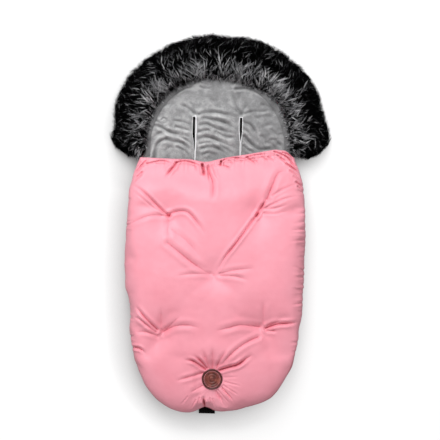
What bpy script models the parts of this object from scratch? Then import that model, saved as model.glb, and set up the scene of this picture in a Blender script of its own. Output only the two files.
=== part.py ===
# Stroller footmuff, lying on its back with the head end towards +Y.
# Padded back with harness slots, a tufted cover that unzips to the knee and
# folds over the foot, and a fur-trimmed head end that tips up into a hood.
# Metres, +Z up, X across, origin on the ground under the middle.

import math

import bmesh
import bpy
from mathutils import Vector
from mathutils.bvhtree import BVHTree

# Plan of the cover
COVER_HALF = 0.2395
WIDEST_Y = -0.075
FOOT_Y = -0.502
HEM_TAPER = 0.0305
HEM_Y = 0.172
FOOT_ROUNDNESS = 3.0
SIDE_TAPER = 3.1
FOLD_Y = -0.060

# Fits
FIT = 0.0003
SEAM = 0.0004
OVERRUN = 0.004

# Padded back
COVER_OVERHANG = 0.0255
PAD_INSET = 0.008
PAD_RIM_LIFT = 0.010
SHELL_THICKNESS = 0.003
WADDING_TOP = 0.0207
RIM_WADDING = 0.0035
LINER_THICKNESS = 0.0035
PAD_EDGE = 0.009
PAD_FLAT = 0.025

# Cover
ZIP_INSET = 0.012
COVER_SKIN = 0.0012
LINING_SKIN = 0.0025
COVER_WALL = 0.018
COVER_DOME = 0.052
DOME_RUN = 0.090
CEILING_WALL = 0.014
CEILING_DOME = 0.024
CEILING_RUN = 0.070
WALL_DEPTH = 0.0134
HEM_RUN = 0.090
HEM_BAND = 0.012
HEM_FABRIC = 0.0014
HEM_ELASTIC = 0.0012
TUFT_DEPTH = 0.021
TUFT_REACH = 0.026
CREASE_DEPTH = 0.007
CREASE_REACH = 0.018
UPPER_TUFT = (0.120, 0.025)
MIDDLE_TUFT_Y = -0.134
LOWER_TUFT = (0.137, -0.286)

# Zip
TAPE_THICKNESS = 0.0012
TAPE_HEIGHT = 0.009
CHAIN_HALF_WIDTH = 0.0015
CHAIN_HEIGHT = 0.0018
CHAIN_GAP = 0.0018
ZIP_TOP_Y = 0.148
ZIP_STRAIGHT_Y = 0.129
SLIDER_Y = 0.112
SLIDER_LENGTH = 0.012
SLIDER_PLATE = 0.0012
SLIDER_ROOM = 0.0006
SLIDER_NECK = 0.0010
SLIDER_REACH = 0.0055
EAR_REACH = 0.0052
EAR_HEIGHT = 0.0012
PIN_RADIUS = 0.0008
EYE_RADIUS = 0.0022
PULL_LENGTH = 0.024
PULL_THICKNESS = 0.0014
STOP_LENGTH = 0.004

# Slots
SLOT_X = 0.063
SLOT_TOP_Y = 0.292
SLOT_FOOT_Y = 0.030
SLOT_GAP = 0.0070
CROTCH_TOP_Y = -0.060
CROTCH_FOOT_Y = -0.160
WELT_WIDTH = 0.0045
WELT_HEIGHT = 0.0016

# Head end
HEAD_RADIUS = 0.205
HEAD_Y = 0.211
FUR_START_Y = 0.180
FUR_OUT = 0.090
FUR_IN = 0.017
FUR_IN_TOP = 0.037
FUR_TOP = 0.075
FUR_END_RUN = 0.045
FUR_TAPE_WIDTH = 0.013
FUR_TAPE_THICKNESS = 0.0012

# Small pieces
PATCH_RADIUS = 0.028
PATCH_THICKNESS = 0.0032
PATCH_RIM = 0.0035
PATCH_GROOVE = 0.0008
PATCH_BEVEL = 0.0006
TACK_RADIUS = 0.0042
TACK_SHANK = 0.0014
TACK_HEIGHT = 0.0026
TACK_CAP = 0.0014
TAB_HALF = 0.022
TAB_X = -0.0135
TAB_LENGTH = 0.0117
TAB_HEIGHT = 0.0046
TAB_FABRIC = 0.0013
BAND_HALF = 0.150
BAND_TOP_Y = 0.005
BAND_FOOT_Y = -0.035
BAND_THICKNESS = 0.0013

HEM_HALF = COVER_HALF - HEM_TAPER
PAD_HALF = COVER_HALF - COVER_OVERHANG
PATCH_Y = FOOT_Y + DOME_RUN
PAD_TOP = WADDING_TOP + FIT + LINER_THICKNESS
BACK_TAPE_Z = PAD_TOP + FIT
BACK_TAPE_TOP = BACK_TAPE_Z + TAPE_HEIGHT
FLAP_TAPE_Z = BACK_TAPE_TOP + CHAIN_GAP
FLAP_TAPE_TOP = FLAP_TAPE_Z + TAPE_HEIGHT
COVER_Z = FLAP_TAPE_TOP + FIT
COVER_TOP = COVER_Z + COVER_WALL + COVER_DOME

SIDE_ROW_SHARES = (0.0, 0.13, 0.27, 0.40, 0.53, 0.66, 0.78, 0.90, 1.0)
FOOT_COLUMN_SHARES = (0.94, 0.82, 0.64, 0.42, 0.20, 0.0)
DOME_INSET_SHARES = (0.09, 0.24, 0.50)
FLAP_RING_SHARES = (0.19, 0.38, 0.60, 0.80, 1.0)
FOOT_RING_SHARES = (0.25, 0.50, 0.75, 1.0)
PAD_RING_SHARES = (0.34, 0.67, 1.0)
HEM_HEIGHT_SHARE = 0.22
MOUTH_HEIGHT_SHARE = 0.30
TACK_TOP_SHARE = 0.7
CROWN_ROUNDNESS = 2.2
SHARP_ANGLE = 40
# Fur section: share of its reach in or out, share of its height
FUR_END_SHARE = 0.35
FUR_INNER_SHARES = ((1.0, 0.15), (0.6, 0.6))
FUR_CROWN_SHARES = ((0.08, 0.93), (0.36, 1.0), (0.70, 0.78))
FUR_OUTER_SHARES = ((0.94, 0.55), (1.0, 0.32), (0.90, 0.08), (0.72, 0.0))


def clear_scene():
    for old in list(bpy.data.objects):
        bpy.data.objects.remove(old, do_unlink=True)


def material(name, colour, roughness, metallic=0.0):
    made = bpy.data.materials.get(name) or bpy.data.materials.new(name)
    made.use_nodes = True
    shader = made.node_tree.nodes["Principled BSDF"]
    shader.inputs["Base Color"].default_value = (*colour, 1.0)
    shader.inputs["Roughness"].default_value = roughness
    shader.inputs["Metallic"].default_value = metallic
    return made


def pink_fabric():
    return material("pink_fabric", (0.95, 0.37, 0.44), 0.55)


def wadding():
    return material("wadding", (0.85, 0.85, 0.83), 0.9)


def grey_plush():
    return material("grey_plush", (0.42, 0.42, 0.43), 0.95)


def dark_fur():
    return material("dark_fur", (0.03, 0.03, 0.035), 0.8)


def black_webbing():
    return material("black_webbing", (0.015, 0.015, 0.017), 0.7)


def brown_leather():
    return material("brown_leather", (0.17, 0.06, 0.035), 0.5)


def pink_tape():
    return material("pink_tape", (0.80, 0.28, 0.34), 0.7)


def light_piping():
    return material("light_piping", (0.68, 0.68, 0.70), 0.7)


def dark_metal():
    return material("dark_metal", (0.30, 0.30, 0.31), 0.35, 1.0)


def smooth_step(value):
    held = min(max(value, 0.0), 1.0)
    return held * held * (3 - 2 * held)


def crown(share):
    held = min(max(share, 0.0), 1.0)
    return (1 - (1 - held) ** CROWN_ROUNDNESS) ** (1 / CROWN_ROUNDNESS)


# One object from points and faces, with its faces turned out
def solid(name, points, faces, look, smooth=True):
    mesh = bpy.data.meshes.new(name)
    mesh.from_pydata([tuple(point) for point in points], [], faces)
    build = bmesh.new()
    build.from_mesh(mesh)
    bmesh.ops.recalc_face_normals(build, faces=build.faces)
    build.to_mesh(mesh)
    build.free()
    if smooth:
        mesh.shade_smooth()
        mesh.set_sharp_from_angle(angle=math.radians(SHARP_ANGLE))
    made = bpy.data.objects.new(name, mesh)
    bpy.context.collection.objects.link(made)
    mesh.materials.append(look)
    return made


# A solid through a row of rings with the same number of points, ends capped
def loft(name, rings, look, smooth=True):
    count = len(rings[0])
    points = [point for ring in rings for point in ring]
    faces = [tuple(range(count))]
    for row in range(len(rings) - 1):
        for step in range(count):
            after = (step + 1) % count
            low, high = row * count, (row + 1) * count
            faces.append((low + step, low + after, high + after, high + step))
    last = (len(rings) - 1) * count
    faces.append(tuple(last + step for step in reversed(range(count))))
    return solid(name, points, faces, look, smooth)


def turned(name, profile, centre, sides, look):
    rings = []
    for step in range(sides):
        angle = 2 * math.pi * step / sides
        rings.append((math.cos(angle), math.sin(angle)))
    points = [Vector((centre.x, centre.y, centre.z + profile[0][1]))]
    for radius, height in profile[1:-1]:
        for cosine, sine in rings:
            points.append(centre + Vector((radius * cosine, radius * sine, height)))
    points.append(Vector((centre.x, centre.y, centre.z + profile[-1][1])))
    faces = []
    rows = len(profile) - 2
    for step in range(sides):
        after = (step + 1) % sides
        faces.append((0, 1 + after, 1 + step))
        for row in range(rows - 1):
            low, high = 1 + row * sides, 1 + (row + 1) * sides
            faces.append((low + step, low + after, high + after, high + step))
        top = 1 + (rows - 1) * sides
        faces.append((top + step, top + after, len(points) - 1))
    return solid(name, points, faces, look)


def block(name, low, high, look):
    corners = [
        (x, y, z) for z in (low[2], high[2]) for y in (low[1], high[1]) for x in (low[0], high[0])
    ]
    faces = [(0, 2, 3, 1), (4, 5, 7, 6), (0, 1, 5, 4), (2, 6, 7, 3), (0, 4, 6, 2), (1, 3, 7, 5)]
    return solid(name, corners, faces, look, smooth=False)


def extruded(name, outline, low, high, look):
    rings = [[Vector((x, y, low)) for x, y in outline], [Vector((x, y, high)) for x, y in outline]]
    return loft(name, rings, look, smooth=False)


def slot_cutter():
    boxes = [
        (side * SLOT_X, SLOT_FOOT_Y, SLOT_TOP_Y, SLOT_GAP) for side in (-1, 1)
    ] + [(0.0, CROTCH_FOOT_Y, CROTCH_TOP_Y, SLOT_GAP)]
    points, faces = [], []
    for x, foot, top, gap in boxes:
        first = len(points)
        for z in (-OVERRUN, PAD_TOP + OVERRUN):
            for y in (foot, top):
                for edge in (x - gap / 2, x + gap / 2):
                    points.append((edge, y, z))
        for face in ((0, 2, 3, 1), (4, 5, 7, 6), (0, 1, 5, 4), (2, 6, 7, 3), (0, 4, 6, 2),
                     (1, 3, 7, 5)):
            faces.append(tuple(first + corner for corner in face))
    cutter = solid("slot_cutter", points, faces, light_piping(), smooth=False)
    cutter.hide_render = True
    cutter.display_type = "WIRE"
    return cutter


def cut(piece, cutter):
    modifier = piece.modifiers.new("cut", "BOOLEAN")
    modifier.operation = "DIFFERENCE"
    modifier.solver = "EXACT"
    modifier.object = cutter


# Half width of the cover at a place along its length
def cover_half(y):
    if y < WIDEST_Y:
        share = (WIDEST_Y - y) / (WIDEST_Y - FOOT_Y)
        return COVER_HALF * (1 - share ** FOOT_ROUNDNESS) ** (1 / FOOT_ROUNDNESS)
    share = (y - WIDEST_Y) / (HEM_Y - WIDEST_Y)
    return COVER_HALF - (COVER_HALF - HEM_HALF) * share ** SIDE_TAPER


def foot_edge_y(x):
    share = (1 - (abs(x) / COVER_HALF) ** FOOT_ROUNDNESS) ** (1 / FOOT_ROUNDNESS)
    return WIDEST_Y - (WIDEST_Y - FOOT_Y) * share


# A spoke runs from the outline to the middle line: edge point, unit way in, length
class Spoke:
    def __init__(self, edge, centre, pad_inset):
        self.edge = Vector(edge)
        self.length = (Vector(centre) - self.edge).length
        self.way = (Vector(centre) - self.edge) / self.length
        self.pad_inset = pad_inset

    def at(self, inset):
        return self.edge + self.way * min(inset, self.length)

    def zip_inset(self):
        return self.pad_inset + ZIP_INSET


def side_spoke(side, y):
    half = cover_half(y)
    return Spoke((side * half, y), (0.0, y), max(PAD_INSET, half - PAD_HALF))


# Spokes down the right side from start_y, round the foot and up the left side
def foot_spokes(rows):
    right = [side_spoke(1, y) for y in rows]
    left = [side_spoke(-1, y) for y in reversed(rows)]
    widest = cover_half(PATCH_Y)
    xs = [widest * share for share in FOOT_COLUMN_SHARES]
    xs += [-x for x in reversed(xs[:-1])]
    toe = [Spoke((x, foot_edge_y(x)), (0.0, PATCH_Y), PAD_INSET) for x in xs]
    return [right + toe + left]


def flap_spokes(rows):
    return [[side_spoke(1, y) for y in rows], [side_spoke(-1, y) for y in reversed(rows)]]


# Ids and faces of a net whose spokes meet on the middle line
def net(runs, rings):
    ids, faces, seen = [], [], {}
    total = 0
    for run in runs:
        grid = []
        for spoke in run:
            row = []
            for ring in range(rings):
                if ring < rings - 1:
                    row.append(total)
                    total += 1
                    continue
                end = spoke.at(spoke.length)
                key = (round(end.x, 6), round(end.y, 6))
                if key not in seen:
                    seen[key] = total
                    total += 1
                row.append(seen[key])
            grid.append(row)
        for place, (here, after) in enumerate(zip(grid, grid[1:])):
            right = run[place].edge.x + run[place + 1].edge.x > 0
            for ring in range(rings - 1):
                corners = [here[ring], after[ring], after[ring + 1], here[ring + 1]]
                first = corners[:3] if right else [corners[0], corners[1], corners[3]]
                second = [corners[0], *corners[2:]] if right else corners[1:]
                faces += [tuple(three) for three in (first, second) if len(set(three)) == 3]
        ids.append(grid)
    return ids, faces, total


# Places of a sheet: rule(spoke, ring) gives an inset along the spoke and a height
def sheet(runs, ids, total, rings, rule):
    points = [None] * total
    for run, grid in zip(runs, ids):
        for spoke, row in zip(run, grid):
            for ring in range(rings):
                inset, height = rule(spoke, ring)
                flat = spoke.at(inset)
                points[row[ring]] = Vector((flat.x, flat.y, height))
    return points


# Sheet moved along its own normals; rims keep their end planes
def offset_sheet(points, faces, distance, planes):
    normals = [Vector((0.0, 0.0, 0.0)) for _ in points]
    for face in faces:
        a, b, c = (points[face[0]], points[face[1]], points[face[2]])
        normal = (b - a).cross(c - a)
        for corner in face:
            normals[corner] += normal
    upright = 1 if sum(normal.z for normal in normals) > 0 else -1
    moved = []
    for point, normal in zip(points, normals):
        for axis, place in planes:
            if abs(point[axis] - place) < FIT:
                normal[axis] = 0.0
        moved.append(point + normal.normalized() * distance * upright)
    return moved


# Closed solid between two sheets of one net
def between(name, faces, upper, lower, look):
    count = len(upper)
    uses = {}
    for face in faces:
        for a, b in zip(face, face[1:] + face[:1]):
            uses[(a, b)] = True
    walls = [
        (b, a, a + count, b + count) for (a, b) in uses if (b, a) not in uses
    ]
    back = [tuple(corner + count for corner in reversed(face)) for face in faces]
    return solid(name, upper + lower, list(faces) + back + walls, look)


# Padded back and head panel
def pad_insets(spoke):
    first = spoke.pad_inset
    fixed = [first, first + PAD_EDGE / 3, first + PAD_EDGE, first + PAD_FLAT]
    rest = spoke.length - fixed[-1]
    return fixed + [fixed[-1] + rest * share for share in PAD_RING_SHARES]


PAD_RINGS = 4 + len(PAD_RING_SHARES)


def pad_level(ring, rim, edge, flat):
    return (rim, edge)[ring] if ring < 2 else flat


def pad_layers(prefix, runs, cutter, shell_look):
    ids, faces, total = net(runs, PAD_RINGS)

    def layer(rim, edge, flat):
        rule = lambda spoke, ring: (pad_insets(spoke)[ring], pad_level(ring, rim, edge, flat))
        return sheet(runs, ids, total, PAD_RINGS, rule)

    edge_lift = PAD_RIM_LIFT / 3
    edge_top = WADDING_TOP - RIM_WADDING / 3
    shell_low = layer(PAD_RIM_LIFT, edge_lift, 0.0)
    shell_top = layer(PAD_RIM_LIFT + SHELL_THICKNESS, edge_lift + SHELL_THICKNESS, SHELL_THICKNESS)
    pad_low = layer(PAD_RIM_LIFT + SHELL_THICKNESS + FIT, edge_lift + SHELL_THICKNESS + FIT,
                    SHELL_THICKNESS + FIT)
    rim_top = PAD_RIM_LIFT + SHELL_THICKNESS + FIT + RIM_WADDING
    pad_top = layer(rim_top, edge_top, WADDING_TOP)
    liner_low = layer(rim_top + FIT, edge_top + FIT, WADDING_TOP + FIT)
    liner_top = layer(rim_top + FIT + LINER_THICKNESS, edge_top + FIT + LINER_THICKNESS, PAD_TOP)
    made = [
        between(prefix + "_shell", faces, shell_top, shell_low, shell_look),
        between(prefix + "_wadding", faces, pad_top, pad_low, wadding()),
        between(prefix + "_liner", faces, liner_top, liner_low, grey_plush()),
    ]
    for piece in made:
        cut(piece, cutter)
    return made


def head_spokes():
    low = HEM_Y + SEAM / 2
    corner = Vector((HEAD_RADIUS, low))
    arc = 20
    runs = [Spoke(corner, (0.0, low), 0.0)]
    for step in range(arc + 1):
        angle = math.pi * step / arc
        edge = Vector((HEAD_RADIUS * math.cos(angle), HEAD_Y + HEAD_RADIUS * math.sin(angle)))
        runs.append(Spoke(edge, (0.0, HEAD_Y), 0.0))
    runs.append(Spoke((-corner.x, low), (0.0, low), 0.0))
    return [list(reversed(runs))]


def pad_rows():
    top = HEM_Y - SEAM / 2
    return [top + (PATCH_Y - top) * share for share in SIDE_ROW_SHARES]


# Height of the outer skin before tufts
def hem_share(y, least=HEM_HEIGHT_SHARE):
    drop = smooth_step((y - (HEM_Y - HEM_BAND - HEM_RUN)) / HEM_RUN)
    return 1 - (1 - least) * drop


def tuft_places():
    places = [Vector((side * UPPER_TUFT[0], UPPER_TUFT[1])) for side in (-1, 1)]
    places += [Vector((0.0, MIDDLE_TUFT_Y))]
    places += [Vector((side * LOWER_TUFT[0], LOWER_TUFT[1])) for side in (-1, 1)]
    return places


def crease_lines():
    upper_left, upper_right, middle, lower_left, lower_right = tuft_places()
    patch = Vector((0.0, PATCH_Y))
    return [
        (upper_left, middle), (upper_right, middle), (middle, lower_left),
        (middle, lower_right), (lower_left, patch), (lower_right, patch),
        (upper_left, Vector((-cover_half(FOLD_Y), FOLD_Y))),
        (upper_right, Vector((cover_half(FOLD_Y), FOLD_Y))),
    ]


def line_distance(point, start, end):
    run = end - start
    share = min(max((point - start).dot(run) / run.length_squared, 0.0), 1.0)
    return (point - (start + run * share)).length


def drawn_in(flat):
    depth = 0.0
    for place in tuft_places():
        depth = max(depth, TUFT_DEPTH * math.exp(-((flat - place).length / TUFT_REACH) ** 2))
    for start, end in crease_lines():
        near = math.exp(-(line_distance(flat, start, end) / CREASE_REACH) ** 2)
        depth = max(depth, CREASE_DEPTH * near)
    return depth


def outer_rule(ring_shares):
    def rule(spoke, ring):
        zip_inset = spoke.zip_inset()
        if ring == 0:
            return zip_inset - CHAIN_HALF_WIDTH, COVER_Z
        if ring == 1:
            return zip_inset / 3, COVER_Z + COVER_WALL / 4
        if ring == 2:
            return 0.0, COVER_Z + COVER_WALL
        dome = [DOME_RUN * share for share in DOME_INSET_SHARES]
        rest = spoke.length - dome[-1]
        insets = dome + [dome[-1] + rest * share for share in ring_shares]
        inset = insets[ring - 3]
        flat = spoke.at(inset)
        rise = COVER_DOME * crown(inset / DOME_RUN) * hem_share(flat.y)
        sunk = drawn_in(flat) * crown(inset / DOME_RUN) * smooth_step(rise / COVER_DOME)
        return inset, COVER_Z + COVER_WALL + rise - sunk
    return rule


def inner_rule(ring_shares):
    def rule(spoke, ring):
        start = spoke.zip_inset() + WALL_DEPTH
        wall = CEILING_WALL * hem_share(spoke.edge.y, MOUTH_HEIGHT_SHARE)
        if ring == 0:
            return start, COVER_Z
        if ring == 1:
            return start + PAD_EDGE / 3, COVER_Z + wall / 2
        if ring == 2:
            return start + PAD_EDGE, COVER_Z + wall
        first = start + PAD_EDGE
        run = (spoke.length - first) / 2
        dome = [first + run * share for share in DOME_INSET_SHARES]
        rest = spoke.length - dome[-1]
        insets = dome + [dome[-1] + rest * share for share in ring_shares]
        inset = insets[ring - 3]
        rise = CEILING_DOME * crown((inset - first) / CEILING_RUN)
        return inset, COVER_Z + wall + rise * hem_share(spoke.at(inset).y, MOUTH_HEIGHT_SHARE)
    return rule


def cover_layers(prefix, runs, ring_shares, planes):
    rings = 3 + len(DOME_INSET_SHARES) + len(ring_shares)
    ids, faces, total = net(runs, rings)
    outer = sheet(runs, ids, total, rings, outer_rule(ring_shares))
    inner = sheet(runs, ids, total, rings, inner_rule(ring_shares))
    all_planes = planes + [(2, COVER_Z)]

    def outside(distance):
        return offset_sheet(outer, faces, distance, all_planes)

    def inside(distance):
        return offset_sheet(inner, faces, distance, all_planes)

    shell = between(prefix + "_shell", faces, outer, outside(-COVER_SKIN), pink_fabric())
    between(prefix + "_wadding", faces, outside(-COVER_SKIN - FIT),
            inside(LINING_SKIN + FIT), wadding())
    between(prefix + "_lining", faces, inside(LINING_SKIN), inner, grey_plush())
    return shell, outer, faces


# Zip tape section: flat tape with the chain bead on the edge that meets its mate
def tape_section(low, high, bead_low):
    half = TAPE_THICKNESS / 2
    bead = CHAIN_HALF_WIDTH
    if bead_low:
        mid = low + CHAIN_HEIGHT
        return [(-bead, low), (bead, low), (bead, mid), (half, mid), (half, high),
                (-half, high), (-half, mid), (-bead, mid)]
    mid = high - CHAIN_HEIGHT
    return [(-half, low), (half, low), (half, mid), (bead, mid), (bead, high),
            (-bead, high), (-bead, mid), (-half, mid)]


def tape(name, spokes, section):
    rings = []
    for spoke in spokes:
        centre = spoke.at(spoke.zip_inset())
        rings.append([
            Vector((centre.x - spoke.way.x * out, centre.y - spoke.way.y * out, z))
            for out, z in section
        ])
    return loft(name, rings, pink_tape(), smooth=False)


def tape_rows(top, foot):
    rows = [y for y in (ZIP_STRAIGHT_Y, *pad_rows()) if foot < y < min(top, ZIP_STRAIGHT_Y + FIT)]
    return [top, *rows, foot]


# Distance of the zip's run from the middle line at a place along it
def zip_line_x(y):
    rows = tape_rows(ZIP_TOP_Y, PATCH_Y)
    for high, low in zip(rows, rows[1:]):
        if low <= y <= high:
            ends = [spoke.at(spoke.zip_inset()) for spoke in (side_spoke(1, high), side_spoke(1, low))]
            return ends[0].lerp(ends[1], (high - y) / (high - low)).x


def add_zip_tapes():
    around = foot_spokes(tape_rows(ZIP_TOP_Y, PATCH_Y))[0]
    tape("zip_tape_back", around, tape_section(BACK_TAPE_Z, BACK_TAPE_TOP, False))
    toe = foot_spokes(tape_rows(FOLD_Y - SEAM / 2, PATCH_Y))[0]
    upper = tape_section(FLAP_TAPE_Z, FLAP_TAPE_TOP, True)
    tape("zip_tape_foot", toe, upper)
    for side, word in ((-1, "left"), (1, "right")):
        run = [side_spoke(side, y) for y in tape_rows(ZIP_TOP_Y, FOLD_Y + SEAM / 2)]
        tape("zip_tape_flap_" + word, run, upper)


# Slider: two plates joined by a neck that runs between the two chains
def add_slider(side, word):
    x = side * zip_line_x(SLIDER_Y)
    middle = (BACK_TAPE_TOP + FLAP_TAPE_Z) / 2
    near = CHAIN_HALF_WIDTH + SLIDER_ROOM
    far = near + SLIDER_PLATE
    neck = SLIDER_NECK / 2
    reach = SLIDER_REACH
    section = [(-far, -reach), (-near, -reach), (-near, -neck), (near, -neck), (near, -reach),
               (far, -reach), (far, reach), (near, reach), (near, neck), (-near, neck),
               (-near, reach), (-far, reach)]
    low, high = SLIDER_Y - SLIDER_LENGTH / 2, SLIDER_Y + SLIDER_LENGTH / 2
    rings = [[Vector((x + out, y, middle + up)) for out, up in section] for y in (low, high)]
    slider = loft("zip_slider_" + word, rings, dark_metal(), smooth=False)
    add_ears(slider, side, x + side * far, middle)
    pin = Vector((x + side * (far + EAR_REACH / 2), SLIDER_Y, middle))
    add_pull(word, pin)


def add_ears(slider, side, face_x, middle):
    parts = []
    inside = SLIDER_REACH - EAR_HEIGHT
    for low in (-SLIDER_REACH, inside):
        ends = sorted((face_x - side * SLIDER_PLATE / 2, face_x + side * EAR_REACH))
        ear = block("ear", (ends[0], SLIDER_Y - EYE_RADIUS, middle + low),
                    (ends[1], SLIDER_Y + EYE_RADIUS, middle + low + EAR_HEIGHT), dark_metal())
        parts.append(ear)
    half = SLIDER_REACH - EAR_HEIGHT / 2
    centre = Vector((face_x + side * EAR_REACH / 2, SLIDER_Y, middle))
    parts.append(turned("pin", [(0.0, -half), (PIN_RADIUS, -half), (PIN_RADIUS, half), (0.0, half)],
                        centre, 12, dark_metal()))
    for guide in parts:
        guide.hide_render = True
        guide.display_type = "WIRE"
        joined = slider.modifiers.new("join", "BOOLEAN")
        joined.operation = "UNION"
        joined.solver = "EXACT"
        joined.object = guide


# Pull: flat tab with an eye round the slider's pin
def add_pull(word, pin):
    half = SLIDER_REACH - EAR_HEIGHT - FIT
    hole = PIN_RADIUS + FIT
    sides = 12
    outer, inner = [], []
    for step in range(sides):
        angle = 2 * math.pi * (step + 0.5) / sides
        outer.append((EYE_RADIUS * math.cos(angle), EYE_RADIUS * math.sin(angle)))
        inner.append((hole * math.cos(angle), hole * math.sin(angle)))
    points, faces = [], []
    for z in (-half, half):
        for ring in (outer, inner):
            points += [Vector((x, y, z)) for x, y in ring]
    for step in range(sides):
        after = (step + 1) % sides
        base = 2 * sides
        faces += [
            (step, after, base + after, base + step),
            (sides + after, sides + step, base + sides + step, base + sides + after),
            (after, step, sides + step, sides + after),
            (base + step, base + after, base + sides + after, base + sides + step),
        ]
    tab_end = -(EYE_RADIUS + PULL_LENGTH)
    tab_half = half - FIT
    pull = solid("zip_pull_" + word, points, faces, dark_metal())
    pull.location = pin
    tab = block("tab", (-PULL_THICKNESS / 2, tab_end, -tab_half),
                (PULL_THICKNESS / 2, -(hole + EYE_RADIUS) / 2, tab_half), dark_metal())
    tab.location = pin
    tab.hide_render = True
    tab.display_type = "WIRE"
    joined = pull.modifiers.new("join", "BOOLEAN")
    joined.operation = "UNION"
    joined.solver = "EXACT"
    joined.object = tab


def add_stop(side, word):
    middle = ZIP_STRAIGHT_Y - STOP_LENGTH / 2
    face = zip_line_x(middle) + TAPE_THICKNESS / 2 + FIT
    outside = face + CHAIN_HALF_WIDTH * 2
    ends = sorted((side * face, side * outside))
    half = STOP_LENGTH / 2
    block("zip_stop_" + word, (ends[0], middle - half, BACK_TAPE_Z),
          (ends[1], middle + half, BACK_TAPE_TOP - CHAIN_HEIGHT - FIT), dark_metal())


# Folded band over the cover's top edge, with the elastic inside it
def add_hem():
    rows = [side_spoke(side, HEM_Y - HEM_BAND) for side in (1, -1)]
    outer = outer_rule(FLAP_RING_SHARES)
    inner = inner_rule(FLAP_RING_SHARES)
    rings = 3 + len(DOME_INSET_SHARES) + len(FLAP_RING_SHARES)
    near = HEM_Y - HEM_BAND + FIT
    far = HEM_Y - SEAM
    places = []
    for spoke, order in ((rows[0], range(3, rings)), (rows[1], range(rings - 2, 2, -1))):
        for ring in order:
            top_in, top_z = outer(spoke, ring)
            low_in, low_z = inner(spoke, ring)
            x = spoke.at((top_in + low_in) / 2).x
            places.append((x, low_z, top_z))
    band, strip = [], []
    for x, low, top in places:
        bulge = (top - low) / 4
        skin = HEM_FABRIC
        band.append([
            Vector((x, near, top)), Vector((x, far - bulge, top)),
            Vector((x, far, top - bulge)), Vector((x, far, low + bulge)),
            Vector((x, far - bulge, low)), Vector((x, near, low)),
            Vector((x, near, low + skin)), Vector((x, far - bulge, low + skin)),
            Vector((x, far - skin, low + bulge)), Vector((x, far - skin, top - bulge)),
            Vector((x, far - bulge, top - skin)), Vector((x, near, top - skin)),
        ])
        deep = (low + top) / 2
        strip.append([
            Vector((x, near + FIT, deep)), Vector((x, far - skin - FIT, deep)),
            Vector((x, far - skin - FIT, deep + HEM_ELASTIC)),
            Vector((x, near + FIT, deep + HEM_ELASTIC)),
        ])
    loft("hem_binding", band, pink_fabric())
    loft("hem_elastic", strip, light_piping(), smooth=False)


# Strip with two legs and a closed end, round one slot
def add_welt(name, x, closed_y, open_y, gap):
    way = 1 if closed_y > open_y else -1
    inner, outer = gap / 2, gap / 2 + WELT_WIDTH
    end = closed_y + way * WELT_WIDTH
    outline = [
        (x - outer, open_y), (x - inner, open_y), (x - inner, closed_y), (x + inner, closed_y),
        (x + inner, open_y), (x + outer, open_y), (x + outer, end), (x - outer, end),
    ]
    extruded(name, outline, PAD_TOP + FIT, PAD_TOP + FIT + WELT_HEIGHT, light_piping())


def add_crotch_welt():
    inner, outer = SLOT_GAP / 2, SLOT_GAP / 2 + WELT_WIDTH
    low = PAD_TOP + FIT
    loops = []
    for half, pad, z in ((outer, WELT_WIDTH, low), (outer, WELT_WIDTH, low + WELT_HEIGHT),
                         (inner, 0.0, low + WELT_HEIGHT), (inner, 0.0, low)):
        loops.append([
            Vector((-half, CROTCH_FOOT_Y - pad, z)), Vector((half, CROTCH_FOOT_Y - pad, z)),
            Vector((half, CROTCH_TOP_Y + pad, z)), Vector((-half, CROTCH_TOP_Y + pad, z)),
        ])
    points = [point for loop in loops for point in loop]
    faces = []
    for ring in range(4):
        after = (ring + 1) % 4
        for step in range(4):
            turn = (step + 1) % 4
            faces.append((ring * 4 + step, ring * 4 + turn, after * 4 + turn, after * 4 + step))
    solid("crotch_slot_welt", points, faces, light_piping(), smooth=False)


def add_welts():
    for side, word in ((-1, "left"), (1, "right")):
        add_welt("slot_welt_" + word, side * SLOT_X, SLOT_FOOT_Y, HEM_Y - SEAM / 2, SLOT_GAP)
        add_welt("hood_welt_" + word, side * SLOT_X, SLOT_TOP_Y, HEM_Y + SEAM / 2, SLOT_GAP)
    add_crotch_welt()


# Head edge: places and ways out, from the right end round to the left end
def fur_path():
    steps = 20
    path = [(Vector((HEAD_RADIUS, FUR_START_Y)), Vector((1.0, 0.0)), 0.0)]
    rise = HEAD_Y - FUR_START_Y
    for step in range(steps + 1):
        angle = math.pi * step / steps
        way = Vector((math.cos(angle), math.sin(angle)))
        along = rise + HEAD_RADIUS * min(angle, math.pi - angle)
        path.append((Vector((0.0, HEAD_Y)) + way * HEAD_RADIUS, way, along))
    path.append((Vector((-HEAD_RADIUS, FUR_START_Y)), Vector((-1.0, 0.0)), 0.0))
    return path


def add_fur():
    step_z = PAD_TOP + FIT + FUR_TAPE_THICKNESS + FIT
    rings, tapes = [], []
    for place, way, along in fur_path():
        swell = FUR_END_SHARE + (1 - FUR_END_SHARE) * crown(along / FUR_END_RUN)
        out = FUR_OUT * swell
        deep = FUR_IN + (FUR_IN_TOP - FUR_IN) * max(way.y, 0.0)
        top = step_z + (FUR_TOP - step_z) * swell
        section = [(2 * FIT, 0.0), (2 * FIT, step_z), (-deep, step_z)]
        for reach, height in FUR_INNER_SHARES:
            section.append((-deep * reach, step_z + (top - step_z) * height))
        for reach, height in FUR_CROWN_SHARES:
            section.append((out * reach, step_z + (top - step_z) * height))
        for reach, height in FUR_OUTER_SHARES:
            section.append((out * reach, top * height))
        rings.append([Vector((place.x + way.x * n, place.y + way.y * n, z)) for n, z in section])
        low = PAD_TOP + FIT
        high = low + FUR_TAPE_THICKNESS
        near = -(PAD_EDGE + FIT)
        far = near - FUR_TAPE_WIDTH
        tapes.append([
            Vector((place.x + way.x * n, place.y + way.y * n, z))
            for n, z in ((near, low), (near, high), (far, high), (far, low))
        ])
    loft("fur_trim", rings, dark_fur())
    loft("fur_tape", tapes, black_webbing(), smooth=False)


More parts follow.
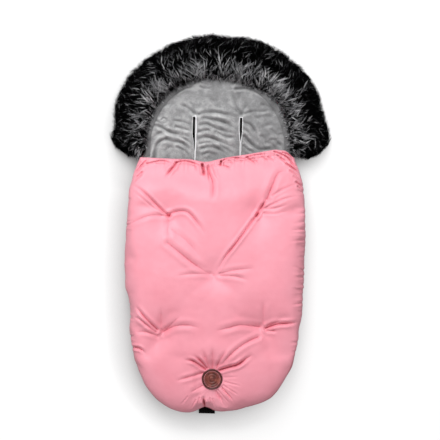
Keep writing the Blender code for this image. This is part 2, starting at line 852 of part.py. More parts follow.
# Highest place of a sheet under a round footprint
def seat_height(points, faces, centre, radius):
    tree = BVHTree.FromPolygons([tuple(point) for point in points], faces)
    heights = []
    for ring in (0.0, 0.5, 1.0):
        for step in range(16):
            angle = 2 * math.pi * step / 16
            place = Vector((centre.x + ring * radius * math.cos(angle),
                            centre.y + ring * radius * math.sin(angle), 2 * COVER_TOP))
            hit = tree.ray_cast(place, Vector((0.0, 0.0, -1.0)))[0]
            if hit:
                heights.append(hit.z)
    return max(heights), min(heights)


def add_tack(name, points, faces, place):
    highest, lowest = seat_height(points, faces, place, TACK_RADIUS)
    foot = lowest + FIT
    cap_low = max(highest + FIT - foot, TACK_HEIGHT / 2)
    shank_highest = seat_height(points, faces, place, TACK_SHANK)[0] + FIT - foot
    profile = [
        (0.0, shank_highest), (TACK_SHANK, shank_highest), (TACK_SHANK, cap_low),
        (TACK_RADIUS, cap_low), (TACK_RADIUS, cap_low + TACK_CAP / 2),
        (TACK_RADIUS * TACK_TOP_SHARE, cap_low + TACK_CAP), (0.0, cap_low + TACK_CAP),
    ]
    turned(name, profile, Vector((place.x, place.y, foot)), 12, pink_fabric())


def add_patch(points, faces):
    place = Vector((0.0, PATCH_Y))
    highest = seat_height(points, faces, place, PATCH_RADIUS)[0]
    rim = PATCH_RADIUS - PATCH_RIM
    profile = [
        (0.0, 0.0), (PATCH_RADIUS - PATCH_BEVEL, 0.0), (PATCH_RADIUS, PATCH_BEVEL),
        (PATCH_RADIUS, PATCH_THICKNESS - PATCH_BEVEL), (PATCH_RADIUS - PATCH_BEVEL, PATCH_THICKNESS),
        (rim, PATCH_THICKNESS), (rim - PATCH_GROOVE, PATCH_THICKNESS - PATCH_GROOVE),
        (0.0, PATCH_THICKNESS - PATCH_GROOVE),
    ]
    turned("leather_patch", profile, Vector((place.x, place.y, highest + FIT)), 40, brown_leather())


def add_tab():
    start = FOOT_Y + PAD_INSET - FIT
    end = start - TAB_LENGTH
    low = PAD_RIM_LIFT - (TAB_HEIGHT - SHELL_THICKNESS) / 2
    high = low + TAB_HEIGHT
    skin = TAB_FABRIC
    round_in = TAB_HEIGHT / 2
    section = [
        (start, low), (end + round_in, low), (end, (low + high) / 2), (end + round_in, high),
        (start, high), (start, high - skin), (end + round_in, high - skin),
        (end + skin, (low + high) / 2), (end + round_in, low + skin), (start, low + skin),
    ]
    rings = [[Vector((TAB_X + x, y, z)) for y, z in section] for x in (-TAB_HALF, TAB_HALF)]
    loft("foot_tab", rings, black_webbing(), smooth=False)


def add_band(shell):
    cutter = block("band_cutter", (-BAND_HALF - FIT, BAND_FOOT_Y - FIT, -OVERRUN),
                   (BAND_HALF + FIT, BAND_TOP_Y + FIT, BAND_THICKNESS + FIT), black_webbing())
    cutter.hide_render = True
    cutter.display_type = "WIRE"
    cut(shell, cutter)
    block("anchor_band", (-BAND_HALF, BAND_FOOT_Y, 0.0), (BAND_HALF, BAND_TOP_Y, BAND_THICKNESS),
          black_webbing())


def main():
    clear_scene()
    cutter = slot_cutter()
    back = pad_layers("back", foot_spokes(pad_rows()), cutter, pink_fabric())
    pad_layers("hood", head_spokes(), cutter, pink_fabric())
    add_band(back[0])
    add_welts()
    add_fur()
    add_zip_tapes()
    for side, word in ((-1, "left"), (1, "right")):
        add_slider(side, word)
        add_stop(side, word)
    upper_left, upper_right, middle, lower_left, lower_right = tuft_places()
    low, high = FOLD_Y + SEAM / 2, HEM_Y - HEM_BAND
    rows = [high, *sorted((high - HEM_RUN / 4, high - HEM_RUN / 2, high - HEM_RUN * 3 / 4,
                           UPPER_TUFT[1] + TUFT_REACH, UPPER_TUFT[1], UPPER_TUFT[1] - TUFT_REACH,
                           (low + UPPER_TUFT[1] - TUFT_REACH) / 2), reverse=True), low]
    flap, points, faces = cover_layers("flap", flap_spokes(rows), FLAP_RING_SHARES,
                                       [(1, low), (1, high)])
    add_tack("tuft_tack_flap_left", points, faces, upper_left)
    add_tack("tuft_tack_flap_right", points, faces, upper_right)
    add_hem()
    top = FOLD_Y - SEAM / 2
    rows = [top, (top + MIDDLE_TUFT_Y + TUFT_REACH) / 2, MIDDLE_TUFT_Y + TUFT_REACH, MIDDLE_TUFT_Y,
            MIDDLE_TUFT_Y - TUFT_REACH, (MIDDLE_TUFT_Y + LOWER_TUFT[1]) / 2,
            LOWER_TUFT[1] + TUFT_REACH, LOWER_TUFT[1], LOWER_TUFT[1] - TUFT_REACH,
            (LOWER_TUFT[1] - TUFT_REACH + PATCH_Y) / 2, PATCH_Y]
    foot, points, faces = cover_layers("foot", foot_spokes(rows), FOOT_RING_SHARES, [(1, top)])
    add_tack("tuft_tack_centre", points, faces, middle)
    add_tack("tuft_tack_foot_left", points, faces, lower_left)
    add_tack("tuft_tack_foot_right", points, faces, lower_right)
    add_patch(points, faces)
    add_tab()


main()
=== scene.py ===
# Looks of the stroller footmuff: puffed cover, plush lining, fur trim, zips and
# small parts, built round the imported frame. Metres, +Z up, head end towards +Y.

import math

import bmesh
import bpy
import numpy as np
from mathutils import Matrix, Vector, noise


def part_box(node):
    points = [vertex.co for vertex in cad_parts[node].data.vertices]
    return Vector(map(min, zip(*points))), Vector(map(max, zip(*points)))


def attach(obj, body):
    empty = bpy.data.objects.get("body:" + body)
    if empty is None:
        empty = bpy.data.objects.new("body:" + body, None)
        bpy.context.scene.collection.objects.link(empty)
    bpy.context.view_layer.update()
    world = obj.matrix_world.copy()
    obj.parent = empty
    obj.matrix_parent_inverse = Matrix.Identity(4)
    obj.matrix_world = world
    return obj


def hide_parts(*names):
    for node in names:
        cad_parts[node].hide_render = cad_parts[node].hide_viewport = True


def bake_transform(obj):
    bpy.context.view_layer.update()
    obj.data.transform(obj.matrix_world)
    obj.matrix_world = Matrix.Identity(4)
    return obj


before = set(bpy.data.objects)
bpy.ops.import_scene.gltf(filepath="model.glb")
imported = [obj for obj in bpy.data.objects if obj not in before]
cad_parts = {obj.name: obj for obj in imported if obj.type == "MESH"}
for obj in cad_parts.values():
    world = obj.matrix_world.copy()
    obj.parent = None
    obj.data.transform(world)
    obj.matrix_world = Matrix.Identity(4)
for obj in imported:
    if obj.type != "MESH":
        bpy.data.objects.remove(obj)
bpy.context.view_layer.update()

# Photograph: metres per pixel, pixel of the origin, lean of the object and the camera's lens;
# the levels are the heights at which the cover, its hem and the plush are seen
PIXEL = 0.002674
ORIGIN_PIXEL = (215.3, 224.2)
LEAN = math.radians(1.44)
PHOTO_MIDDLE = (220.0, 220.0)
PHOTO_WIDTH = 440
LENS = 85.0
SENSOR = 36.0
AIM_LEVEL = 0.08
EYE_FAR = PHOTO_WIDTH * PIXEL * LENS / SENSOR
COVER_LEVEL = 0.098
HEM_LEVEL = 0.072
PLUSH_LEVEL = 0.030

# Plan of the cover: half width and where it is widest, foot, top edge, patch and fold line
COVER_HALF = 0.2395
WIDEST_Y = -0.075
FOOT_Y = -0.502
HEM_HALF = 0.209
HEM_Y = 0.172
FOOT_ROUNDNESS = 3.0
SIDE_TAPER = 3.1
PATCH_Y = -0.412
FOLD_Y = -0.060

# Levels, read off the frame, and the insets of the pad and the zip from the cover's outline
COVER_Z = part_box("flap_shell")[0][2]
COVER_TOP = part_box("foot_shell")[1][2]
PAD_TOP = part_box("back_liner")[1][2]
COVER_WALL = 0.018
COVER_DOME = COVER_TOP - COVER_Z - COVER_WALL
DOME_RUN = 0.074
PAD_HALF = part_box("back_shell")[1][0]
PAD_INSET = 0.008
ZIP_INSET = 0.012
HEAD_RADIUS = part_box("hood_shell")[1][0]
HEAD_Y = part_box("hood_shell")[1][1] - HEAD_RADIUS

# Places in photograph pixels: toe loop, patch and tufts
TAB_PIXEL = (206.0, 411.0)
PATCH_PIXEL = (212.1, 378.2)
TUFTS = ((169.1, 215.9), (259.4, 211.1), (213.9, 274.7), (161.2, 333.6), (263.0, 328.8))
# Depth of each tuft, share and spread of its wide hollow, and spread of its narrow one
TUFT_DEPTHS = (0.019, 0.021, 0.014, 0.021, 0.022)
TUFT_WIDE_SHARE = 0.60
TUFT_WIDE = 0.046
TUFT_NARROW = 0.013
# Folds of the cover: path in photograph pixels, depth and half width in metres
FOLDS = (
    (((169.1, 215.9), (160.6, 208.6), (150.3, 198.1), (142.2, 190.0), (134.5, 185.0)),
     0.0062, 0.0034),
    (((169.1, 215.9), (160.5, 211.5), (152.2, 206.7), (143.3, 198.9), (134.4, 191.1)),
     0.0013, 0.0022),
    (((169.1, 215.9), (172.0, 213.0), (180.6, 211.0), (189.0, 213.0), (197.6, 222.6),
      (204.8, 233.5)), 0.0058, 0.0042),
    (((169.1, 215.9), (154.0, 215.3), (144.2, 217.7), (128.5, 225.0)), 0.0035, 0.0050),
    (((168.5, 217.0), (168.5, 230.0), (168.5, 243.2)), 0.0035, 0.0060),
    (((168.5, 243.2), (180.6, 252.9), (192.7, 262.6), (207.3, 272.3), (213.9, 274.7)),
     0.0060, 0.0065),
    (((172.0, 229.8), (187.9, 242.0), (200.0, 256.5)), 0.0030, 0.0060),
    (((256.6, 216.0), (258.8, 212.4), (262.6, 205.5), (266.7, 199.5)), 0.0086, 0.0036),
    (((266.7, 199.5), (272.7, 185.0), (277.6, 174.0), (282.0, 171.0), (287.3, 170.5)),
     0.0062, 0.0064),
    (((257.6, 214.0), (246.0, 229.8), (235.0, 244.4), (225.5, 256.5), (217.0, 271.0)),
     0.0066, 0.0034),
    (((252.0, 219.5), (244.0, 229.0), (236.5, 238.0), (229.0, 248.0)), 0.0018, 0.0064),
    (((263.0, 209.0), (273.0, 204.0), (285.0, 198.6), (295.0, 196.4)), 0.0028, 0.0032),
    (((265.0, 208.8), (276.0, 208.2), (288.0, 204.0)), 0.0018, 0.0028),
    (((263.0, 213.6), (275.0, 213.8), (287.5, 211.0)), 0.0017, 0.0028),
    (((272.0, 196.0), (283.0, 189.0), (295.0, 183.0)), 0.0024, 0.0032),
    (((219.4, 273.5), (235.0, 269.8), (253.0, 268.0)), 0.0034, 0.0050),
    (((220.6, 275.3), (235.0, 276.0), (247.0, 279.5)), 0.0035, 0.0045),
    (((209.7, 274.0), (192.7, 273.5), (177.0, 275.3)), 0.0026, 0.0045),
    (((157.6, 329.4), (146.7, 318.5), (134.5, 306.4)), 0.0070, 0.0042),
    (((156.4, 331.8), (145.5, 323.3), (138.0, 318.5), (132.0, 316.7)), 0.0060, 0.0040),
    (((157.6, 335.5), (146.7, 331.8), (135.8, 331.8)), 0.0040, 0.0045),
    (((163.6, 331.8), (174.5, 325.8), (187.9, 324.5), (199.0, 327.0)), 0.0050, 0.0060),
    (((161.5, 330.0), (161.5, 306.0)), 0.0030, 0.0060),
    (((166.5, 329.0), (180.6, 314.8)), 0.0030, 0.0060),
    (((133.3, 347.6), (139.0, 348.5), (144.2, 352.4)), 0.0060, 0.0035),
    (((265.5, 328.2), (277.6, 323.9), (295.8, 322.7)), 0.0085, 0.0042),
    (((266.7, 330.6), (276.4, 330.6)), 0.0050, 0.0040),
    (((267.9, 325.0), (280.0, 320.3)), 0.0040, 0.0040),
    (((259.4, 327.0), (241.0, 324.5), (229.0, 327.0), (216.0, 330.0)), 0.0050, 0.0060),
    (((263.0, 325.0), (263.0, 300.0)), 0.0030, 0.0060),
    (((258.0, 337.0), (250.0, 340.0), (238.8, 346.6), (229.0, 355.0), (218.4, 367.0)),
     0.0050, 0.0048),
    (((219.4, 369.4), (229.0, 366.2), (237.6, 363.6), (246.0, 358.0), (251.0, 354.6)),
     0.0094, 0.0040),
    (((205.6, 368.4), (197.5, 362.5), (192.0, 359.6), (186.0, 359.0)), 0.0078, 0.0036),
    (((207.0, 367.0), (201.0, 360.0), (195.0, 354.8)), 0.0074, 0.0034),
    (((212.4, 367.5), (212.8, 358.0), (212.6, 346.0)), 0.0036, 0.0050),
    (((216.6, 367.4), (219.2, 360.5), (226.0, 349.0)), 0.0042, 0.0042),
    (((209.4, 367.2), (206.6, 359.5), (203.0, 349.0)), 0.0036, 0.0040),
    (((203.2, 371.8), (195.0, 374.4), (186.7, 376.5), (177.0, 379.5)), 0.0044, 0.0040),
    (((202.4, 385.2), (190.3, 391.2)), 0.0030, 0.0050),
    (((221.8, 386.4), (229.0, 394.9)), 0.0030, 0.0050),
    (((216.0, 390.0), (221.0, 400.0)), 0.0025, 0.0040),
    (((204.6, 412.0), (204.2, 404.0), (203.6, 396.5)), 0.0150, 0.0030),
    (((196.0, 398.5), (192.0, 406.0)), 0.0014, 0.0020),
    (((188.0, 395.0), (181.5, 402.5)), 0.0012, 0.0020),
    (((213.0, 398.0), (214.5, 407.0)), 0.0014, 0.0020),
    (((220.0, 396.5), (224.0, 405.5)), 0.0014, 0.0020),
    (((228.0, 393.5), (234.0, 402.0)), 0.0012, 0.0020),
    (((218.0, 389.0), (229.0, 402.5)), 0.0016, 0.0018),
    (((222.5, 388.0), (233.0, 399.0)), 0.0016, 0.0018),
    (((223.5, 384.5), (238.0, 393.5)), 0.0014, 0.0020),
    (((210.0, 397.0), (211.0, 406.0)), 0.0016, 0.0018),
    (((199.5, 396.5), (197.0, 405.5)), 0.0016, 0.0018),
    (((225.0, 381.0), (240.0, 384.5)), 0.0014, 0.0022),
    (((224.5, 376.5), (238.0, 375.5)), 0.0012, 0.0024),
)
# Gathers along the top edge of the cover, in the same form
HEM_FOLDS = (
    (((147.5, 163.8), (155.0, 162.0), (162.0, 160.8), (168.0, 162.2), (174.0, 164.6)),
     0.0032, 0.0018),
    (((176.5, 162.5), (183.5, 161.2), (190.0, 162.0), (196.5, 164.5), (202.0, 167.5)),
     0.0038, 0.0018),
    (((176.5, 163.0), (174.0, 166.8), (171.0, 170.3), (166.0, 177.0)), 0.0060, 0.0036),
    (((181.0, 159.5), (181.3, 163.5)), 0.0030, 0.0020),
    (((202.4, 165.0), (203.4, 170.0), (204.4, 176.5)), 0.0120, 0.0032),
    (((207.5, 169.0), (211.0, 177.5), (213.0, 184.0), (213.0, 200.0)), 0.0048, 0.0055),
    (((221.0, 161.5), (220.3, 166.5)), 0.0085, 0.0021),
    (((221.5, 162.0), (224.0, 160.0), (229.0, 158.0), (235.0, 157.8), (242.5, 159.0),
      (247.5, 159.6)), 0.0038, 0.0018),
    (((246.0, 157.5), (252.5, 155.8), (259.0, 154.6), (268.0, 154.4)), 0.0030, 0.0018),
    (((223.5, 165.5), (231.0, 169.0)), 0.0032, 0.0021),
    (((247.0, 157.5), (256.0, 163.8)), 0.0042, 0.0021),
    (((252.5, 158.5), (258.5, 163.0)), 0.0030, 0.0019),
    (((236.0, 158.5), (243.0, 162.0)), 0.0028, 0.0020),
    (((143.8, 164.4), (136.0, 173.8)), 0.0042, 0.0020),
    (((143.8, 172.5), (136.5, 179.0)), 0.0038, 0.0021),
    (((141.0, 161.5), (134.5, 170.5)), 0.0032, 0.0018),
    (((146.0, 161.0), (140.5, 166.5)), 0.0028, 0.0018),
    (((273.8, 151.6), (285.0, 156.0), (291.0, 162.5), (296.5, 171.0)), 0.0046, 0.0019),
    (((282.5, 152.5), (292.5, 157.5), (298.0, 164.5)), 0.0036, 0.0018),
    (((285.0, 163.8), (290.5, 167.5), (299.0, 174.5)), 0.0046, 0.0020),
    (((277.0, 155.5), (287.5, 163.0)), 0.0032, 0.0018),
    (((288.0, 170.8), (296.0, 176.5)), 0.0028, 0.0019),
    (((293.0, 182.0), (300.0, 187.5)), 0.0036, 0.0020),
    (((295.0, 186.5), (302.0, 191.5)), 0.0036, 0.0020),
    (((139.5, 160.8), (133.5, 168.0)), 0.0030, 0.0018),
    (((144.2, 166.8), (137.0, 174.0)), 0.0026, 0.0018),
    (((143.0, 175.6), (135.5, 182.6)), 0.0028, 0.0020),
    (((280.0, 158.5), (288.0, 165.5), (294.0, 173.0)), 0.0026, 0.0018),
    (((286.0, 153.0), (295.5, 159.5)), 0.0028, 0.0018),
    (((290.0, 163.0), (300.0, 171.0)), 0.0028, 0.0018),
    (((291.0, 176.5), (300.5, 182.5)), 0.0026, 0.0020),
    (((262.0, 157.0), (268.5, 161.5)), 0.0024, 0.0018),
    (((268.0, 157.0), (275.0, 162.0)), 0.0022, 0.0018),
    (((228.0, 160.0), (233.5, 165.0)), 0.0022, 0.0018),
    (((195.0, 166.0), (197.5, 172.0)), 0.0020, 0.0018),
    (((208.5, 166.0), (208.8, 175.0), (209.8, 183.0)), 0.0030, 0.0022),
    (((212.5, 165.5), (214.5, 173.0), (218.0, 180.0)), 0.0026, 0.0026),
)
# Short puckers on the cover's edge: side, pixel row, length, depth, half width; the pixel
# columns of the two edges; and the share and place of the raised flanks beside each
PUCKERS = (
    (1, 186.0, 0.035, 0.0040, 0.0035), (1, 192.5, 0.030, 0.0035, 0.0030),
    (1, 213.0, 0.040, 0.0030, 0.0035), (1, 221.0, 0.035, 0.0032, 0.0034),
    (1, 228.6, 0.050, 0.0045, 0.0035), (1, 239.0, 0.055, 0.0045, 0.0040),
    (1, 248.0, 0.030, 0.0035, 0.0032), (1, 257.0, 0.028, 0.0030, 0.0030),
    (1, 271.0, 0.040, 0.0065, 0.0035), (1, 277.0, 0.035, 0.0040, 0.0030),
    (1, 285.0, 0.030, 0.0035, 0.0032), (1, 290.0, 0.045, 0.0040, 0.0035),
    (1, 302.5, 0.040, 0.0045, 0.0035), (1, 312.0, 0.025, 0.0030, 0.0030),
    (1, 342.0, 0.025, 0.0030, 0.0032), (1, 352.0, 0.020, 0.0022, 0.0030),
    (-1, 226.0, 0.032, 0.0045, 0.0035), (-1, 222.0, 0.026, 0.0028, 0.0028),
    (-1, 305.0, 0.016, 0.0050, 0.0032), (-1, 317.0, 0.022, 0.0055, 0.0034),
    (-1, 337.0, 0.024, 0.0045, 0.0034), (-1, 347.5, 0.030, 0.0060, 0.0034),
    (-1, 200.0, 0.020, 0.0025, 0.0035), (-1, 262.0, 0.018, 0.0016, 0.0040),
    (-1, 285.0, 0.018, 0.0018, 0.0040),
)
PUCKER_COLUMNS = {-1: 130.0, 1: 300.0}
PUCKER_FLANK_SHARE = 0.5
PUCKER_FLANK = 2.2
# Top edge of the cover, in photograph pixels
HEM_LINE = (
    (133.0, 163.0), (139.0, 158.4), (150.0, 159.0), (172.0, 160.0), (190.0, 160.4),
    (203.0, 163.2), (209.0, 163.0), (223.0, 159.4), (241.0, 156.6), (262.0, 153.0),
    (276.0, 150.8), (286.0, 152.0), (295.0, 160.0), (300.0, 166.0),
)

CROWN_POWER = 2.2
TINY = 1e-9


# Plan position of a photograph pixel, for a point seen at a height
def photo(px, py, level=AIM_LEVEL):
    share = (EYE_FAR - (level - AIM_LEVEL)) / EYE_FAR
    px = PHOTO_MIDDLE[0] + (px - PHOTO_MIDDLE[0]) * share
    py = PHOTO_MIDDLE[1] + (py - PHOTO_MIDDLE[1]) * share
    across = (px - ORIGIN_PIXEL[0]) * PIXEL
    up = (ORIGIN_PIXEL[1] - py) * PIXEL
    return Vector((across * math.cos(LEAN) - up * math.sin(LEAN),
                   across * math.sin(LEAN) + up * math.cos(LEAN)))


# Eased rise from 0 to 1
def smooth_step(value):
    held = np.clip(value, 0.0, 1.0)
    return held * held * (3 - 2 * held)


# Rounded rise from 0 to 1, steep at its start
def crown(share):
    held = np.clip(share, 0.0, 1.0)
    return (1 - (1 - held) ** CROWN_POWER) ** (1 / CROWN_POWER)


# Half width of the cover at a place along it
def cover_half(y):
    if y < WIDEST_Y:
        share = min((WIDEST_Y - y) / (WIDEST_Y - FOOT_Y), 1.0)
        return COVER_HALF * (1 - share ** FOOT_ROUNDNESS) ** (1 / FOOT_ROUNDNESS)
    share = (y - WIDEST_Y) / (HEM_Y - WIDEST_Y)
    return COVER_HALF - (COVER_HALF - HEM_HALF) * share ** SIDE_TAPER


# Where a ray from the patch towards an angle below the x axis meets the foot's outline
def toe_point(angle):
    low, high = 0.0, COVER_HALF * 1.2
    for _ in range(40):
        middle = (low + high) / 2
        x, y = middle * math.cos(angle), PATCH_Y - middle * math.sin(angle)
        fill = (abs(x) / COVER_HALF) ** FOOT_ROUNDNESS
        fill += ((WIDEST_Y - y) / (WIDEST_Y - FOOT_Y)) ** FOOT_ROUNDNESS
        low, high = (middle, high) if fill < 1 else (low, middle)
    return (low * math.cos(angle), PATCH_Y - low * math.sin(angle))


# Spokes: edge point, centre point and zip inset of each, right side down, toe, left side up
def cover_spokes(step, top=HEM_Y):
    rows = np.linspace(top, PATCH_Y, int(round((top - PATCH_Y) / step)) + 1)
    toe = [toe_point(math.pi * n / 2 / 40) for n in range(81)]
    length = sum(math.dist(a, b) for a, b in zip(toe, toe[1:]))
    count = int(round(length / step))
    angles = np.linspace(0, math.pi, count + 1)[1:-1]
    edges, centres, pads = [], [], []
    for y in rows:
        edges.append((cover_half(y), y))
        centres.append((0.0, y))
        pads.append(max(PAD_INSET, cover_half(y) - PAD_HALF))
    for angle in angles:
        edges.append(toe_point(angle))
        centres.append((0.0, PATCH_Y))
        pads.append(PAD_INSET)
    for y in rows[::-1]:
        edges.append((-cover_half(y), y))
        centres.append((0.0, y))
        pads.append(max(PAD_INSET, cover_half(y) - PAD_HALF))
    return np.array(edges), np.array(centres), np.array(pads)


# Length of each spoke and the way along it, from its edge to its centre
def spoke_ways(edges, centres):
    lengths = np.linalg.norm(centres - edges, axis=1)
    return lengths, (centres - edges) / lengths[:, None]


# Grid of points along spokes, from its rows of inset and height, and their insets
def spoke_grid(edges, ways, rows):
    inset = np.array([row[0] for row in rows]).T
    height = np.array([row[1] for row in rows]).T
    flat = edges[:, None, :] + ways[:, None, :] * inset[:, :, None]
    return np.concatenate([flat, height[..., None]], axis=2), inset


def linked(name, data):
    made = bpy.data.objects.new(name, data)
    bpy.context.collection.objects.link(made)
    return made


def new_object(name, points, faces, look, smooth=True):
    mesh = bpy.data.meshes.new(name)
    mesh.from_pydata([tuple(map(float, point)) for point in points], [], faces)
    mesh.materials.append(look)
    if smooth:
        mesh.shade_smooth()
    return linked(name, mesh)


def corners_of(mesh):
    corners = np.empty(len(mesh.vertices) * 3)
    mesh.vertices.foreach_get("co", corners)
    return corners.reshape(-1, 3)


def set_corners(mesh, corners):
    mesh.vertices.foreach_set("co", corners.ravel())
    mesh.update()


# Stores a value for each corner, which a look reads by its name
def mark(mesh, name, values):
    made = mesh.attributes.new(name, "FLOAT", "POINT")
    made.data.foreach_set("value", values.astype(np.float32))


def weld(piece, distance=0.00005):
    build = bmesh.new()
    build.from_mesh(piece.data)
    bmesh.ops.remove_doubles(build, verts=build.verts, dist=distance)
    bmesh.ops.dissolve_degenerate(build, dist=distance / 10, edges=build.edges)
    bmesh.ops.recalc_face_normals(build, faces=build.faces)
    build.to_mesh(piece.data)
    build.free()
    piece.data.shade_smooth()


# Faces of a grid of points, row by row, closed round from the last row to the first or not
def grid_faces(rows, columns, closed=False):
    faces = []
    for row in range(rows - 1 + int(closed)):
        after = (row + 1) % rows
        for column in range(columns - 1):
            faces.append((row * columns + column, after * columns + column,
                          after * columns + column + 1, row * columns + column + 1))
    return faces


# Faces of a band of rings, each a closed round of points
def ring_faces(rows, size):
    return [(row * size + n, (row + 1) * size + n, (row + 1) * size + (n + 1) % size,
             row * size + (n + 1) % size) for row in range(rows - 1) for n in range(size)]


# Piece made of a grid of points
def grid_piece(name, grid, look, closed=False):
    made = new_object(name, grid.reshape(-1, 3), grid_faces(*grid.shape[:2], closed), look)
    weld(made)
    return made


# Distance of points from a path, and the share of the path at the nearest place
def path_distance(points, path):
    best = np.full(len(points), 1.0)
    along = np.zeros(len(points))
    total = sum((b - a).length for a, b in zip(path, path[1:]))
    run = 0.0
    for a, b in zip(path, path[1:]):
        way = np.array(b - a)
        length = float(np.linalg.norm(way))
        share = np.clip(((points - np.array(a)) @ way) / length ** 2, 0, 1)
        near = np.linalg.norm(points - (np.array(a) + share[:, None] * way), axis=1)
        closer = near < best
        best[closer] = near[closer]
        along[closer] = (run + share[closer] * length) / total
        run += length
    return best, along


# Smooth curve through photograph pixels
def smooth_path(pixels, level=COVER_LEVEL, steps=6):
    ends = [photo(*pixel, level) for pixel in pixels]
    if len(ends) < 3:
        return ends
    padded = [ends[0] * 2 - ends[1], *ends, ends[-1] * 2 - ends[-2]]
    path = []
    for a, b, c, d in zip(padded, padded[1:], padded[2:], padded[3:]):
        for step in range(steps):
            t = step / steps
            path.append(0.5 * ((2 * b) + (c - a) * t + (2 * a - 5 * b + 4 * c - d) * t * t
                               + (3 * b - a - 3 * c + d) * t ** 3))
    path.append(ends[-1])
    return path


# Distance of points in plan from a photograph pixel on the cover
def far_from(points, pixel):
    return np.linalg.norm(points - np.array(photo(*pixel, COVER_LEVEL)), axis=1)


# Depth that the tufts draw the cover in by
def tuft_depth(points):
    depth = np.zeros(len(points))
    for pixel, deep in zip(TUFTS, TUFT_DEPTHS):
        far = far_from(points, pixel)
        wide = np.exp(-(far / TUFT_WIDE) ** 1.6)
        narrow = np.exp(-far / TUFT_NARROW)
        depth = np.maximum(depth, deep * (TUFT_WIDE_SHARE * wide + (1 - TUFT_WIDE_SHARE) * narrow))
    return depth


# Shape of a fold: reach in half widths, how it fades along its run, how its depth comes and
# goes, and the share, place and spread of its raised flanks
FOLD_REACH = 4.6
FADE_RATE = 2.6
FADE_END = 0.10
BREAK_RATE = 9.0
BREAK_START = 9000
FLANK_SHARE = 0.42
FLANK_PLACE = 2.1
FLANK_SPREAD = 1.2


# Soft valley with raised flanks and a sharp crease along its bottom, and the depth of that crease,
# which sets how much painted shade the crease takes
def fold_depth(points, folds, level, sharp_share, sharp_half, breaks):
    depth = np.zeros(len(points))
    crease_shading = np.zeros(len(points))
    for pixels, deep, half in folds:
        path = smooth_path(pixels, level)
        reach = FOLD_REACH * half
        low = np.array((min(p.x for p in path), min(p.y for p in path))) - reach
        high = np.array((max(p.x for p in path), max(p.y for p in path))) + reach
        near = np.flatnonzero(((points > low) & (points < high)).all(axis=1))
        if not len(near):
            continue
        far, along = path_distance(points[near], path)
        fade = np.minimum(1.0, (1 - along) * FADE_RATE + FADE_END)
        fade *= 1 - breaks * (1 - np.sin(along * BREAK_RATE + deep * BREAK_START))
        valley = np.exp(-(far / half) ** 1.5)
        sharp = np.exp(-(far / sharp_half) ** 1.3)
        flank = np.exp(-((far - FLANK_PLACE * half) / (FLANK_SPREAD * half)) ** 2)
        section = (1 - sharp_share) * valley + sharp_share * sharp - FLANK_SHARE * flank
        depth[near] += deep * fade * section
        crease_shading[near] = np.maximum(crease_shading[near], deep * fade * sharp)
    return depth, crease_shading


def pucker_depth(points, side_inset):
    depth = np.zeros(len(points))
    for side, row, length, deep, half in PUCKERS:
        away = points[:, 1] - photo(PUCKER_COLUMNS[side], row).y
        tilt = 0.10 + 0.30 * math.sin(row * 1.7)
        near = np.exp(-((away - tilt * side_inset) / half) ** 2)
        flank = np.exp(-((np.abs(away) - PUCKER_FLANK * half) / half) ** 2)
        reach = smooth_step(1 - side_inset / length)
        depth += deep * (near - PUCKER_FLANK_SHARE * flank) * reach * (points[:, 0] * side > 0)
    return depth


# The cover's top edge: y for an x
def hem_line(x):
    places = [photo(*pixel) for pixel in HEM_LINE]
    return np.interp(x, [place.x for place in places], [place.y for place in places])


# Value between the rows of a table
def table_at(rows, value):
    return np.interp(value, [row[0] for row in rows], [row[1] for row in rows])


def noise_field(points, scale, seed):
    return np.array([
        noise.noise(Vector((x * scale, y * scale, seed))) for x, y in points
    ])


def swells(points, waves):
    return sum(noise_field(points, scale, seed) * height for scale, seed, height in waves)


# Top of the cover: run that slopes down to the hem, its band and the share of height left there
HEM_RUN = 0.105
HEM_BAND = 0.012
HEM_TOP_SHARE = 0.29
# Steps of the curl under the zip and of the roll at the hem, the roll's reach and its least and
# most thickness, the reach of the spokes, and the crowding of their rings towards the edge
CURL_STEPS = 8
CURL_OVER = 0.001
ROLL_STEPS = 6
ROLL_REACH = 0.0045
ROLL_THICK = (0.002, 0.02)
ROLL_CLEAR = 0.004
SPOKE_REACH = 0.22
RING_POWER = 1.25
# Run over which the swells fade in, and run that the hem's warp takes
SWELL_RUN = 0.045
HEM_WARP_RUN = 0.11
# Swells of the cover, each with its scale, start and height, and the part of the dome's height
# over which the tufts reach their full depth
SWELLS = ((9.0, 3.0, 0.0026), (21.0, 5.0, 0.0010))
PUFFED_SHARE = 0.35


# Share of the cover's height that is left as it slopes down to the hem
def hem_share(y, least=HEM_TOP_SHARE):
    drop = smooth_step((y - (HEM_Y - HEM_BAND - HEM_RUN)) / HEM_RUN)
    return 1 - (1 - least) * drop


# Outer sheet of the cover as rows of spokes
def cover_sheet(step):
    edges, centres, pads = cover_spokes(step)
    lengths, ways = spoke_ways(edges, centres)
    zips = pads + ZIP_INSET
    rings = int(round(SPOKE_REACH / step))
    rows = []
    for n in range(CURL_STEPS):
        turn = math.pi / 2 * n / CURL_STEPS
        inset = (zips + CURL_OVER) * (1 - math.sin(turn))
        rows.append((inset, np.full(len(zips), COVER_Z + COVER_WALL * (1 - math.cos(turn)))))
    for n in range(rings + 1):
        inset = lengths * (n / rings) ** RING_POWER
        y = (edges + ways * inset[:, None])[:, 1]
        rise = COVER_DOME * crown(inset / DOME_RUN) * hem_share(y)
        rows.append((inset, COVER_Z + COVER_WALL + rise))
    return spoke_grid(edges, ways, rows)


# Distance in from the cover's outline, in plan
def outline_inset(points):
    x, y = np.abs(points[:, 0]), points[:, 1]
    rows = np.linspace(PATCH_Y, HEM_Y, 120)
    side = np.interp(y, rows, [cover_half(row) for row in rows]) - x
    turns = np.linspace(0, math.pi / 2, 60)
    reaches = [math.dist(toe_point(turn), (0.0, PATCH_Y)) for turn in turns]
    deep = np.maximum(PATCH_Y - y, 0.0)
    toe = np.interp(np.arctan2(deep, x), turns, reaches) - np.hypot(x, deep)
    return np.where(y > PATCH_Y, side, toe)


